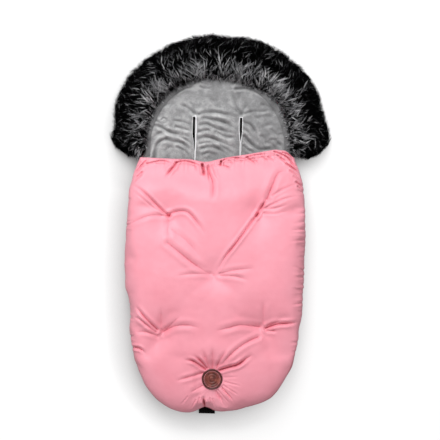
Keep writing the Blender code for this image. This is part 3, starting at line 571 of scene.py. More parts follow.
# Uneven outline of the cover: pixel row, reach added on the left and on the right; then
# angle round the foot's middle and reach added there; in pixels
SIDE_SHIFT = (
    (158, -0.6, 0.4), (166, 0.8, 2.0), (172, 1.8, 3.0), (178, 2.2, 3.6), (184, 1.9, 3.0),
    (190, 2.0, 2.0), (196, 1.8, 2.0), (204, 1.3, 1.5), (212, 1.1, 1.7), (220, 0.9, 2.0),
    (228, 1.3, 2.5), (236, 2.0, 3.3), (246, 2.5, 3.1), (256, 2.8, 2.6), (266, 2.9, 2.9),
    (276, 2.4, 2.9), (286, 2.2, 2.7), (292, 1.3, 1.8), (298, -0.6, 2.0), (304, -2.2, 2.3),
    (310, -3.1, 2.4), (318, -2.9, 1.6), (324, -2.6, 0.6), (330, -1.6, 0.6), (335, -1.2, 1.1),
)
FOOT_SHIFT = (
    (-180, -1.2), (-166, -1.6), (-160, -0.4), (-148, 0.3), (-136, 1.2), (-126, 1.8), (-118, 2.8),
    (-111, 3.0), (-105, 2.2), (-100, 0.0), (-92, 0.8), (-86, -0.3), (-76, -0.5), (-70, -1.5),
    (-64, -2.4), (-58, -1.7), (-52, 0.0), (-46, 1.6), (-34, 2.0), (-20, 2.3), (-10, 1.3),
    (0, 1.1),
)
FOOT_MIDDLE = (213.0, 335.0)


def outline_shift(points):
    away = points - np.array(photo(*FOOT_MIDDLE))
    rows = [photo(PHOTO_MIDDLE[0], row[0]).y for row in SIDE_SHIFT][::-1]
    left = np.interp(points[:, 1], rows, [row[1] for row in SIDE_SHIFT][::-1])
    right = np.interp(points[:, 1], rows, [row[2] for row in SIDE_SHIFT][::-1])
    side = np.where(points[:, 0] < 0, -left, right)
    angle = np.degrees(np.arctan2(away[:, 1], away[:, 0]))
    reach = table_at(FOOT_SHIFT, np.minimum(angle, 0.0))
    ways = away / (np.linalg.norm(away, axis=1)[:, None] + TINY)
    sideways = np.stack([side, np.zeros(len(points))], axis=1)
    return np.where((away[:, 1] > 0)[:, None], sideways, ways * reach[:, None]) * PIXEL


# Dome, tufts and broad swells of the cover
def shape_cover(step):
    grid, inset = cover_sheet(step)
    flat, height = grid[..., :2].reshape(-1, 2), grid[..., 2].reshape(-1)
    level = crown(inset / SWELL_RUN).reshape(-1)
    puffed = smooth_step((height - COVER_Z - COVER_WALL) / (COVER_DOME * PUFFED_SHARE))
    z = height - tuft_depth(flat) * level * (0.4 + 0.6 * puffed) + swells(flat, SWELLS) * level
    grid[..., 2] = z.reshape(inset.shape)
    return grid


# Small gathers of the hem's elastic: length, share and start of each wave
GATHERS = ((0.0135, 0.55, 0.0), (0.0089, 0.45, 1.3), (0.031, 0.35, 0.4))


def gather(x):
    return sum(share * np.sin(x * 2 * math.pi / length + start)
               for length, share, start in GATHERS)


# Warp that puts the top rows of a grid on the photographed hem line
def hem_warp(grid):
    warped = grid.copy()
    x, y = grid[..., 0], grid[..., 1]
    near = smooth_step((y - (HEM_Y - HEM_WARP_RUN)) / HEM_WARP_RUN)
    warped[..., 1] = y + (hem_line(x) - HEM_Y) * near
    return warped


# Roll of the fabric under the hem, at the grid's two ends
def extend_hem(grid):
    ends = []
    for row in (grid[0], grid[-1]):
        half = np.clip(row[:, 2] - COVER_Z - ROLL_CLEAR, *ROLL_THICK) / 2
        roll = []
        for n in range(1, ROLL_STEPS + 1):
            turn = math.pi * n / ROLL_STEPS
            ring = row.copy()
            ring[:, 1] = row[:, 1] + ROLL_REACH * math.sin(turn)
            ring[:, 2] = row[:, 2] - half + half * math.cos(turn)
            roll.append(ring)
        ends.append(np.array(roll))
    return np.concatenate([ends[0][::-1], grid, ends[1]], axis=0)


# Stuffing: frames, furthest move, spare cloth, pressure, rounds of smoothing, reach of the pins
# in from the zip, the hem, a tuft, the patch and a fold, and the depth of fold that is held
SIM_FRAMES = 20
SIM_REACH = 0.0085
EXCESS_CLOTH = 0.035
PRESSURE = 4.0
SIM_SMOOTHING = 5
ZIP_PIN = 0.010
HEM_PIN = 0.010
TUFT_PIN = 0.0045
PATCH_PIN = 0.022
FOLD_PIN = 0.0035
FOLD_HOLD = 0.45
PINNED_FOLD = 0.0075


# How firmly each point is held: at the zip, hem, tufts and patch, and loosely along deep folds
def pin_weights(points):
    flat = points[:, :2]
    held = points[:, 2] < COVER_Z + ZIP_PIN
    held |= flat[:, 1] > hem_line(flat[:, 0]) - HEM_PIN
    for pixel in TUFTS:
        held |= far_from(flat, pixel) < TUFT_PIN
    held |= far_from(flat, PATCH_PIXEL) < PATCH_PIN
    pins = held.astype(float)
    for pixels, deep, _ in FOLDS:
        if deep >= PINNED_FOLD:
            near, _ = path_distance(flat, smooth_path(pixels))
            pins = np.maximum(pins, np.where(near < FOLD_PIN, FOLD_HOLD, 0.0))
    return pins


# Values of a mesh's corners, averaged with their neighbours a few times over
def smoothed(mesh, values, rounds):
    ends = np.empty(len(mesh.edges) * 2, dtype=np.int32)
    mesh.edges.foreach_get("vertices", ends)
    ends = ends.reshape(-1, 2)
    degree = np.bincount(ends.ravel(), minlength=len(values))[:, None]
    for _ in range(rounds):
        total = np.zeros_like(values)
        np.add.at(total, ends[:, 0], values[ends[:, 1]])
        np.add.at(total, ends[:, 1], values[ends[:, 0]])
        values = (values + total / degree) / 2
    return values


# Stuffs the sheet like a cushion: cloth under pressure, held at its seams and tufts
def puff(piece):
    mesh = piece.data
    before = corners_of(mesh)
    group = piece.vertex_groups.new(name="held")
    for number, weight in enumerate(pin_weights(before)):
        if weight > 0:
            group.add([number], float(weight), "REPLACE")
    cloth = piece.modifiers.new("stuffing", "CLOTH")
    settings = cloth.settings
    settings.quality = 6
    settings.mass = 0.25
    settings.tension_stiffness = 14
    settings.compression_stiffness = 9
    settings.shear_stiffness = 5
    settings.bending_stiffness = 0.35
    settings.use_pressure = True
    settings.uniform_pressure_force = PRESSURE
    settings.shrink_min = -EXCESS_CLOTH
    settings.vertex_group_mass = group.name
    settings.pin_stiffness = 1.0
    settings.effector_weights.gravity = 0.0
    cloth.collision_settings.use_collision = False
    cloth.point_cache.frame_start = 1
    cloth.point_cache.frame_end = SIM_FRAMES
    for frame_number in range(1, SIM_FRAMES + 1):
        bpy.context.scene.frame_set(frame_number)
    graph = bpy.context.evaluated_depsgraph_get()
    after = corners_of(piece.evaluated_get(graph).data)
    piece.modifiers.remove(cloth)
    piece.vertex_groups.remove(group)
    bpy.context.scene.frame_set(1)
    moved = smoothed(mesh, after - before, SIM_SMOOTHING)
    far = np.linalg.norm(moved, axis=1)[:, None] + TINY
    moved *= SIM_REACH * np.tanh(far / SIM_REACH) / far
    set_corners(mesh, before + moved)


# Replaces a piece's mesh with a smoothly subdivided one
def subdivide(piece, levels):
    smoother = piece.modifiers.new("finer", "SUBSURF")
    smoother.levels = smoother.render_levels = levels
    graph = bpy.context.evaluated_depsgraph_get()
    finer = bpy.data.meshes.new_from_object(piece.evaluated_get(graph))
    piece.modifiers.remove(smoother)
    old = piece.data
    piece.data = finer
    bpy.data.meshes.remove(old)
    piece.data.shade_smooth()


# Painted shade along the cover, lighter and darker by place as the light falls along its length:
# y, depth of a crease that gives the same painted shade
COVER_PAINTED_SHADE = ((-0.52, 0.0016), (-0.37, 0.0022), (-0.20, 0.0018), (-0.056, 0.0006),
               (0.02, 0.0010), (0.10, 0.0020), (0.18, 0.0020))


# Height over which the details of the cover fade in, run in from its outline that they take, and
# the section of its folds: share and half width of the sharp crease, coming and going of depth
TOP_START = 0.006
TOP_RUN = 0.012
DETAIL_RUN = 0.030
COVER_SECTION = (0.5, 0.0017, 0.10)
HEM_SECTION = (0.45, 0.0018, 0.12)
HEM_FOLD_LIFT = 1.35
FINE_NOISE = ((60.0, 8.0, 0.0004),)
# Patch: its gap over the cover, the edge and run of its flat seat, and the raised ring round it:
# radius, spread, lift and what the side towards the head adds
PATCH_GAP = 0.0002
SEAT_EDGE = 0.056
SEAT_RUN = 0.026
RING_RADIUS = 0.080
RING_SPREAD = 0.026
RING_LIFT = 0.0026
RING_LIFT_HEAD = 0.0028
# Painted crease shade: full depth, power it is mixed by, reach and share of the tufts where it is
# cleared, depth and sizes of the painted shadow above the patch, and depth of the painted shade
# along the rim of the foot
CREASE_FULL = 0.0075
CREASE_MIX = 1.6
TUFT_CLEAR = 0.007
TUFT_CLEAR_SHARE = 0.90
SHADED_PLACE = (0.0016, 0.034, 0.034, 0.020)
RIM_PAINTED_SHADE = 0.0052
# Hem: depth and half width of the groove of its seam, height and reach of its gathers
GROOVE_DEPTH = 0.0010
GROOVE_HALF = 0.0014
GATHER_HEIGHT = 0.0012
GATHER_REACH = 0.022
# Notch over the toe loop: half width, depth and run
NOTCH_HALF = 0.019
NOTCH_DEPTH = 0.013
NOTCH_RUN = 0.045
PUCKER_PULL = 0.22
OUTLINE_RUN = 0.07


# Raises the ring round the patch and flattens its seat; returns how far the folds reach there
def seat_patch(points, flat, level):
    far = far_from(flat, PATCH_PIXEL)
    seat = smooth_step((SEAT_EDGE - far) / SEAT_RUN)
    seat_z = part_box("leather_patch")[0][2] + PATCH_GAP
    head = smooth_step((flat[:, 1] - photo(*PATCH_PIXEL, COVER_LEVEL).y) / 0.05)
    ring = np.exp(-((far - RING_RADIUS) / RING_SPREAD) ** 2)
    points[:, 2] += (RING_LIFT + RING_LIFT_HEAD * head) * ring * level
    points[:, 2] = points[:, 2] * (1 - seat) + np.minimum(points[:, 2], seat_z) * seat
    return smooth_step((far - 0.024) / 0.007)


# How strongly each place shows painted shade, 0 to 1: shade in its creases, cleared at the tufts,
# painted shade along the cover and a painted shadow above the patch
def painted_crease_shade(flat, inset, crease_shading):
    for pixel in TUFTS:
        crease_shading *= 1 - TUFT_CLEAR_SHARE * np.exp(-(far_from(flat, pixel) / TUFT_CLEAR) ** 2)
    shaded = table_at(COVER_PAINTED_SHADE, flat[:, 1]) * (0.25 + 0.75 * smooth_step(inset / 0.08))
    crease_shading = (np.maximum(crease_shading, 0) ** CREASE_MIX + shaded ** CREASE_MIX) ** (1 / CREASE_MIX)
    deep, above, wide, long = SHADED_PLACE
    away = flat - np.array(photo(*PATCH_PIXEL, COVER_LEVEL)) - np.array((0.0, above))
    crease_shading += deep * np.exp(-(away[:, 0] / wide) ** 2 - (away[:, 1] / long) ** 2)
    return np.clip(crease_shading / CREASE_FULL, 0.0, 1.0)


# Creases, puckers, hem groove, the seat of the patch and the notch over the toe loop, with painted
# shade in the creases, puckers and along the foot's rim
def detail_cover(piece):
    mesh = piece.data
    points = corners_of(mesh)
    flat = points[:, :2].copy()
    inset = outline_inset(flat)
    hem = hem_line(flat[:, 0])
    top = smooth_step((points[:, 2] - COVER_Z - TOP_START) / TOP_RUN)
    level = crown(inset / DETAIL_RUN) * top
    folds, crease_shading = fold_depth(flat, FOLDS, COVER_LEVEL, *COVER_SECTION)
    hem_folds, hem_crease_shading = fold_depth(flat, HEM_FOLDS, HEM_LEVEL, *HEM_SECTION)
    puckers = pucker_depth(flat, np.maximum(inset, 0.0))
    below_hem = smooth_step((hem - flat[:, 1] - 0.002) / 0.014)
    folds *= seat_patch(points, flat, level)
    points[:, 2] -= (folds * (0.25 + 0.75 * below_hem) + HEM_FOLD_LIFT * hem_folds
                     + swells(flat, FINE_NOISE)) * level
    # Painted shade: darker in the creases, the hem's gathers and the puckers, and along the rim of
    # the foot where it turns under
    rim = smooth_step((0.0065 - inset) / 0.004) * smooth_step((-0.30 - flat[:, 1]) / 0.08)
    crease_shading = np.maximum(crease_shading, hem_crease_shading * 1.5) * level + 0.5 * np.maximum(puckers, 0) * top
    crease_shading = np.maximum(crease_shading, RIM_PAINTED_SHADE * rim)
    mark(mesh, "crease_shade", painted_crease_shade(flat, inset, crease_shading))
    points[:, 2] -= puckers * np.maximum(level, 0.35 * top)
    pull = PUCKER_PULL * np.exp(-np.maximum(inset, 0) / 0.02)
    points[:, 0] -= np.sign(points[:, 0]) * puckers * pull
    groove = np.exp(-((flat[:, 1] - (hem - HEM_BAND)) / GROOVE_HALF) ** 2) * top
    close = np.exp(-((hem - flat[:, 1]) / GATHER_REACH) ** 2) * top
    points[:, 2] += GATHER_HEIGHT * gather(flat[:, 0]) * close - GROOVE_DEPTH * groove
    near_tab = np.exp(-(np.abs(flat[:, 0] - photo(*TAB_PIXEL).x) / NOTCH_HALF) ** 2.5)
    notch = near_tab * smooth_step((PATCH_Y - flat[:, 1]) / 0.05)
    points[:, 1] += NOTCH_DEPTH * notch * smooth_step((NOTCH_RUN - inset) / NOTCH_RUN)
    near_zip = smooth_step((points[:, 2] - COVER_Z) / 0.010)
    near = smooth_step(1 - inset / OUTLINE_RUN) * (0.35 + 0.65 * near_zip)
    points[:, :2] += outline_shift(flat) * near[:, None]
    set_corners(mesh, points)


# Turns a sheet's faces to look up
def face_up(piece):
    normals = np.empty(len(piece.data.polygons) * 3)
    piece.data.polygons.foreach_get("normal", normals)
    if normals[2::3].sum() < 0:
        piece.data.flip_normals()


# Outer fabric of the cover, from its spokes to its stuffed and creased form
def build_cover(look):
    step = 0.0060
    cover = grid_piece("cover_fabric", extend_hem(hem_warp(shape_cover(step))), look)
    face_up(cover)
    puff(cover)
    subdivide(cover, 2)
    detail_cover(cover)
    return cover


# Node helpers for procedural materials
class Look:
    def __init__(self, name, roughness=0.6, metallic=0.0):
        self.material = bpy.data.materials.new(name)
        self.material.use_nodes = True
        self.nodes = self.material.node_tree.nodes
        self.links = self.material.node_tree.links
        self.shader = self.nodes["Principled BSDF"]
        self.shader.inputs["Roughness"].default_value = roughness
        self.shader.inputs["Metallic"].default_value = metallic
        self.place = self.nodes.new("ShaderNodeTexCoord").outputs["Object"]

    def node(self, kind, inputs=None, **settings):
        made = self.nodes.new(kind)
        for key, value in settings.items():
            setattr(made, key, value)
        for key, value in (inputs or {}).items():
            if isinstance(value, bpy.types.NodeSocket):
                self.links.new(value, made.inputs[key])
            else:
                made.inputs[key].default_value = value
        return made

    def noise(self, scale, detail=2.0, roughness=0.5, source=None):
        return self.node("ShaderNodeTexNoise", {
            "Vector": source or self.place, "Scale": scale, "Detail": detail,
            "Roughness": roughness}).outputs["Fac"]

    def wave(self, scale, axis, distortion=0.0):
        return self.node("ShaderNodeTexWave", {
            "Vector": self.place, "Scale": scale, "Distortion": distortion},
            bands_direction=axis).outputs["Fac"]

    # Value that a piece's corners carry
    def value_of(self, name):
        return self.node("ShaderNodeAttribute", attribute_name=name).outputs["Fac"]

    def ramp(self, source, stops):
        made = self.node("ShaderNodeValToRGB", {"Fac": source})
        elements = made.color_ramp.elements
        while len(elements) < len(stops):
            elements.new(0.5)
        for element, (place, colour) in zip(elements, stops):
            element.position = place
            element.color = (*colour, 1.0)
        return made.outputs["Color"]

    def math(self, operation, first, second):
        return self.node("ShaderNodeMath", {0: first, 1: second},
                         operation=operation).outputs[0]

    def bump(self, height, distance, strength=1.0, normal=None):
        inputs = {"Height": height, "Distance": distance, "Strength": strength}
        if normal is not None:
            inputs["Normal"] = normal
        return self.node("ShaderNodeBump", inputs).outputs["Normal"]

    # Uneven roughness between two values
    def rough(self, source, low, high):
        self.use("Roughness", self.node("ShaderNodeMapRange", {
            "Value": source, "To Min": low, "To Max": high}).outputs["Result"])

    def use(self, key, value):
        if isinstance(value, bpy.types.NodeSocket):
            self.links.new(value, self.shader.inputs[key])
        else:
            self.shader.inputs[key].default_value = value


# Colour as the eye sees it, 0 to 255, in the linear values that looks take
def linear(red, green, blue):
    def one(value):
        share = value / 255
        return share / 12.92 if share <= 0.04045 else ((share + 0.055) / 1.055) ** 2.4
    return (one(red), one(green), one(blue))


# Woven fabric; painted crease shade darkens it to the given colour where a piece carries a crease
# shade value
def fabric_look(name, dark, light, roughness, weave=2600.0, weave_depth=0.00006, sheen=0.25,
                mottle=14.0, crease_shade=None):
    look = Look(name, roughness)
    tone = look.noise(mottle, 4.0, 0.55)
    colour = look.ramp(tone, ((0.3, dark), (0.7, light)))
    if crease_shade:
        share = look.math("MULTIPLY", look.math("POWER", look.value_of("crease_shade"), 1.6), 1.3)
        share = look.math("MINIMUM", share, 1.0)
        colour = look.node("ShaderNodeMixRGB", {
            "Fac": share, "Color1": colour, "Color2": (*crease_shade, 1.0)}).outputs["Color"]
    look.use("Base Color", colour)
    warp = look.wave(weave / 10, "X")
    weft = look.wave(weave / 10, "Y")
    crossed = look.math("MULTIPLY", warp, weft)
    fine = look.noise(900.0, 3.0, 0.6)
    look.rough(fine, roughness - 0.06, roughness + 0.08)
    under = look.bump(fine, 0.00005, 0.5)
    look.use("Normal", look.bump(crossed, weave_depth, 0.6, under))
    look.use("Sheen Weight", sheen)
    look.use("Sheen Roughness", 0.4)
    return look.material


def pink_nylon():
    # Deep pink painted shade in the cover's creases and shaded places
    look = fabric_look("pink_nylon", linear(244, 156, 171), linear(248, 165, 180), 0.5,
                       sheen=0.10, crease_shade=linear(202, 92, 108))
    look.node_tree.nodes["Principled BSDF"].inputs["Specular IOR Level"].default_value = 0.38
    return look


def plush_look():
    look = Look("grey_plush", 0.95)
    # Tone of the pile, with the painted shade and highlight that the plush carries
    tone = look.math("ADD", look.math("MULTIPLY", look.noise(38.0, 5.0, 0.6), 0.6),
                     look.value_of("pile_and_shade"))
    nap = look.noise(420.0, 4.0, 0.65)
    mixed = look.math("ADD", look.math("MULTIPLY", tone, 0.72), look.math("MULTIPLY", nap, 0.28))
    look.use("Base Color", look.ramp(mixed, (
        (0.26, linear(82, 82, 83)), (0.50, linear(142, 142, 143)),
        (0.76, linear(210, 210, 210)))))
    coarse = look.bump(look.noise(210.0, 4.0, 0.65), 0.0013, 0.8)
    look.use("Normal", look.bump(nap, 0.0008, 0.7, coarse))
    look.use("Sheen Weight", 0.35)
    look.use("Sheen Roughness", 0.5)
    return look.material


def plain_look(name, colour, roughness, shine=0.5):
    look = Look(name, roughness)
    look.use("Base Color", (*colour, 1.0))
    look.use("Specular IOR Level", shine)
    return look.material


def piping_look():
    return fabric_look("piping_tape", linear(216, 216, 218), linear(240, 240, 242), 0.75,
                       weave=9000.0, weave_depth=0.00012, mottle=60.0)


def webbing_look():
    look = Look("black_webbing", 0.6)
    ribs = look.wave(420.0, "X")
    rows = look.wave(300.0, "Y", 0.6)
    woven = look.math("MULTIPLY", ribs, rows)
    look.use("Base Color", look.ramp(woven, ((0.1, linear(2, 2, 2)), (0.9, linear(9, 7, 8)))))
    look.use("Normal", look.bump(woven, 0.0004, 0.8))
    look.use("Specular IOR Level", 0.15)
    return look.material


def leather_look():
    look = Look("brown_leather", 0.5)
    tone = look.noise(70.0, 5.0, 0.6)
    look.use("Base Color", look.ramp(tone, (
        (0.30, linear(66, 22, 18)), (0.52, linear(118, 52, 43)), (0.74, linear(170, 92, 76)))))
    cells = look.node("ShaderNodeTexVoronoi", {"Vector": look.place, "Scale": 900.0},
                      feature="DISTANCE_TO_EDGE").outputs["Distance"]
    grain = look.bump(cells, 0.0002, 0.6)
    look.use("Normal", look.bump(look.noise(260.0, 4.0, 0.6), 0.0003, 0.4, grain))
    look.rough(tone, 0.40, 0.62)
    return look.material


def rim_look():
    look = Look("dark_leather_rim", 0.45)
    tone = look.noise(120.0, 4.0, 0.6)
    look.use("Base Color", look.ramp(tone, ((0.3, linear(60, 18, 14)), (0.7, linear(92, 34, 27)))))
    look.use("Normal", look.bump(look.noise(700.0, 3.0, 0.6), 0.0002, 0.5))
    return look.material


def metal_look():
    look = Look("dark_zip_metal", 0.35, 1.0)
    scratch = look.noise(500.0, 4.0, 0.7)
    look.use("Base Color", look.ramp(scratch, (
        (0.3, linear(96, 96, 98)), (0.7, linear(140, 140, 142)))))
    look.rough(scratch, 0.25, 0.5)
    return look.material


def thread_look():
    look = Look("pink_thread", 0.7)
    twist = look.wave(900.0, "DIAGONAL")
    look.use("Base Color", look.ramp(twist, (
        (0.1, linear(240, 152, 166)), (0.9, linear(252, 172, 186)))))
    look.use("Normal", look.bump(twist, 0.0002, 0.7))
    return look.material


# Lining: spacing, rings, inset past the zip, reach of its seam under the tape, height of its
# side, run of the bend to the ceiling, rise and run of the ceiling, share left at the hem
LINING_STEP = 0.010
LINING_RINGS = 26
LINING_INSET = 0.012
LINING_SEAM = 0.0125
LINING_WALL = 0.014
LINING_BEND = 0.009
LINING_RISE = 0.024
LINING_RUN = 0.07
LINING_TOP_SHARE = 0.30
LINING_SWELLS = ((14.0, 9.0, 0.0015),)


# Inner sheet of the cover: sides of the leg space and its ceiling
def build_lining(look):
    edges, centres, pads = cover_spokes(LINING_STEP)
    lengths, ways = spoke_ways(edges, centres)
    start = pads + ZIP_INSET + LINING_INSET
    wall = LINING_WALL * hem_share(edges[:, 1], LINING_TOP_SHARE)
    base = np.full(len(start), COVER_Z)
    rows = [(start - LINING_SEAM, base), (start, base), (start + 0.004, COVER_Z + wall * 0.6)]
    for n in range(LINING_RINGS + 1):
        inset = start + LINING_BEND + (lengths - start - LINING_BEND) * n / LINING_RINGS
        y = (edges + ways * inset[:, None])[:, 1]
        rise = LINING_RISE * crown((inset - start - LINING_BEND) / LINING_RUN)
        rows.append((inset, COVER_Z + wall + rise * hem_share(y, LINING_TOP_SHARE)))
    grid, inset = spoke_grid(edges, ways, rows)
    swell = swells(grid[..., :2].reshape(-1, 2), LINING_SWELLS).reshape(inset.shape)
    grid[..., 2] += swell * (grid[..., 2] > COVER_Z + 0.008)
    return grid_piece("cover_lining", hem_warp(grid), look)


# Outline of the padded back, all the way round, with its centre points
def pad_spokes(step):
    edges, centres, pads = cover_spokes(step)
    _, ways = spoke_ways(edges, centres)
    body = edges + ways * pads[:, None]
    count = int(round(math.pi * HEAD_RADIUS / step))
    rise = int(round((HEAD_Y - HEM_Y) / step)) + 1
    side = [(HEAD_RADIUS, y) for y in np.linspace(HEM_Y + step, HEAD_Y, rise)[:-1]]
    arc = [(HEAD_RADIUS * math.cos(a), HEAD_Y + HEAD_RADIUS * math.sin(a))
           for a in np.linspace(0, math.pi, count + 1)]
    head = side + arc + [(-x, y) for x, y in side[::-1]]
    head_centres = [(0.0, min(y, HEAD_Y)) for _, y in side]
    head_centres += [(0.0, HEAD_Y)] * len(arc)
    head_centres += head_centres[:len(side)][::-1]
    outline = np.concatenate([body, np.array(head)[::-1]], axis=0)
    middle = np.concatenate([centres, np.array(head_centres)[::-1]], axis=0)
    return outline, middle


# Harness slots and crotch slot: place, width of the cut, ends and the level of their walls
SLOT_X = 0.063
SLOT_GAP = 0.0070
SLOT_FOOT_Y = 0.031
SLOT_TOP_Y = 0.291
CROTCH_FOOT_Y = -0.159
CROTCH_TOP_Y = -0.061
SLOT_FLOOR = 0.004


# Sides and ends of each slot: low and high x, low and high y
def slot_boxes():
    half = SLOT_GAP / 2
    return [(-SLOT_X - half, -SLOT_X + half, SLOT_FOOT_Y, SLOT_TOP_Y),
            (SLOT_X - half, SLOT_X + half, SLOT_FOOT_Y, SLOT_TOP_Y),
            (-half, half, CROTCH_FOOT_Y, CROTCH_TOP_Y)]


# Half width that each harness slot is left open by: y, half width
SLOT_OPEN = {-1: ((0.100, 0.0008), (0.200, 0.0015), (0.232, 0.0028), (0.250, 0.0044),
                  (0.280, 0.0044), (0.295, 0.0030)),
             1: ((0.100, 0.0004), (0.225, 0.0005), (0.243, 0.0024), (0.258, 0.0040),
                 (0.280, 0.0040), (0.295, 0.0028))}
# Radius of the piping on the left and right lip of the left and right slot
PIPING_SIZES = {-1: {-1: 0.0006, 1: 0.0022}, 1: {-1: 0.0011, 1: 0.0012}}


# Sideways lean of the left slot's upper part
def slot_shift(side, y):
    return -0.0022 * min(max((y - 0.225) / 0.02, 0.0), 1.0) if side < 0 else 0.0


def slot_half(side, y):
    return float(table_at(SLOT_OPEN[side], y))


# Sideways move that closes the harness slots to their open width
def slot_close(x, y):
    if y < SLOT_FOOT_Y - 0.02:
        return 0.0
    side = -1 if x < 0 else 1
    away = x - side * SLOT_X
    half = SLOT_GAP / 2
    fade = math.exp(-max(abs(away) - half, 0.0) / 0.007)
    ends = min(max((y - SLOT_FOOT_Y + 0.02) / 0.02, 0.0), 1.0)
    inward = (half - slot_half(side, y)) * fade * ends
    return slot_shift(side, y) * fade - math.copysign(min(inward, abs(away)), away)


# Cuts the slots through a sheet and gives them walls in black: painted shadow inside the slots
def open_slots(piece, slot_shadow_look):
    piece.data.materials.append(slot_shadow_look)
    build = bmesh.new()
    build.from_mesh(piece.data)
    for low, high, foot, top in slot_boxes():
        for axis, place in ((0, low), (0, high), (1, foot), (1, top)):
            normal = (1, 0, 0) if axis == 0 else (0, 1, 0)
            point = (place, 0, 0) if axis == 0 else (0, place, 0)
            near = [face for face in build.faces
                    if low - 0.03 < face.calc_center_median().x < high + 0.03
                    and foot - 0.03 < face.calc_center_median().y < top + 0.03]
            parts = list({edge for face in near for edge in face.edges})
            corners = list({corner for face in near for corner in face.verts})
            bmesh.ops.bisect_plane(build, geom=near + parts + corners, dist=0.00002,
                                   plane_co=point, plane_no=normal)
    doomed = []
    for face in build.faces:
        centre = face.calc_center_median()
        for low, high, foot, top in slot_boxes():
            if low < centre.x < high and foot < centre.y < top:
                doomed.append(face)
    bmesh.ops.delete(build, geom=doomed, context="FACES")
    rims = [edge for edge in build.edges if edge.is_boundary and any(
        low - 0.001 < (edge.verts[0].co.x + edge.verts[1].co.x) / 2 < high + 0.001
        and foot - 0.001 < (edge.verts[0].co.y + edge.verts[1].co.y) / 2 < top + 0.001
        for low, high, foot, top in slot_boxes())]
    walls = bmesh.ops.extrude_edge_only(build, edges=rims)["geom"]
    for element in walls:
        if isinstance(element, bmesh.types.BMVert):
            element.co.z = SLOT_FLOOR
        if isinstance(element, bmesh.types.BMFace):
            element.material_index = 1
    lips = {element for element in walls if isinstance(element, bmesh.types.BMVert)}
    for corner in build.verts:
        corner.co.x += slot_close(corner.co.x, corner.co.y)
        if corner in lips:
            middle = SLOT_X * round(corner.co.x / SLOT_X)
            corner.co.x = middle + 0.10 * (corner.co.x - middle)
    build.to_mesh(piece.data)
    build.free()
    piece.data.shade_smooth()


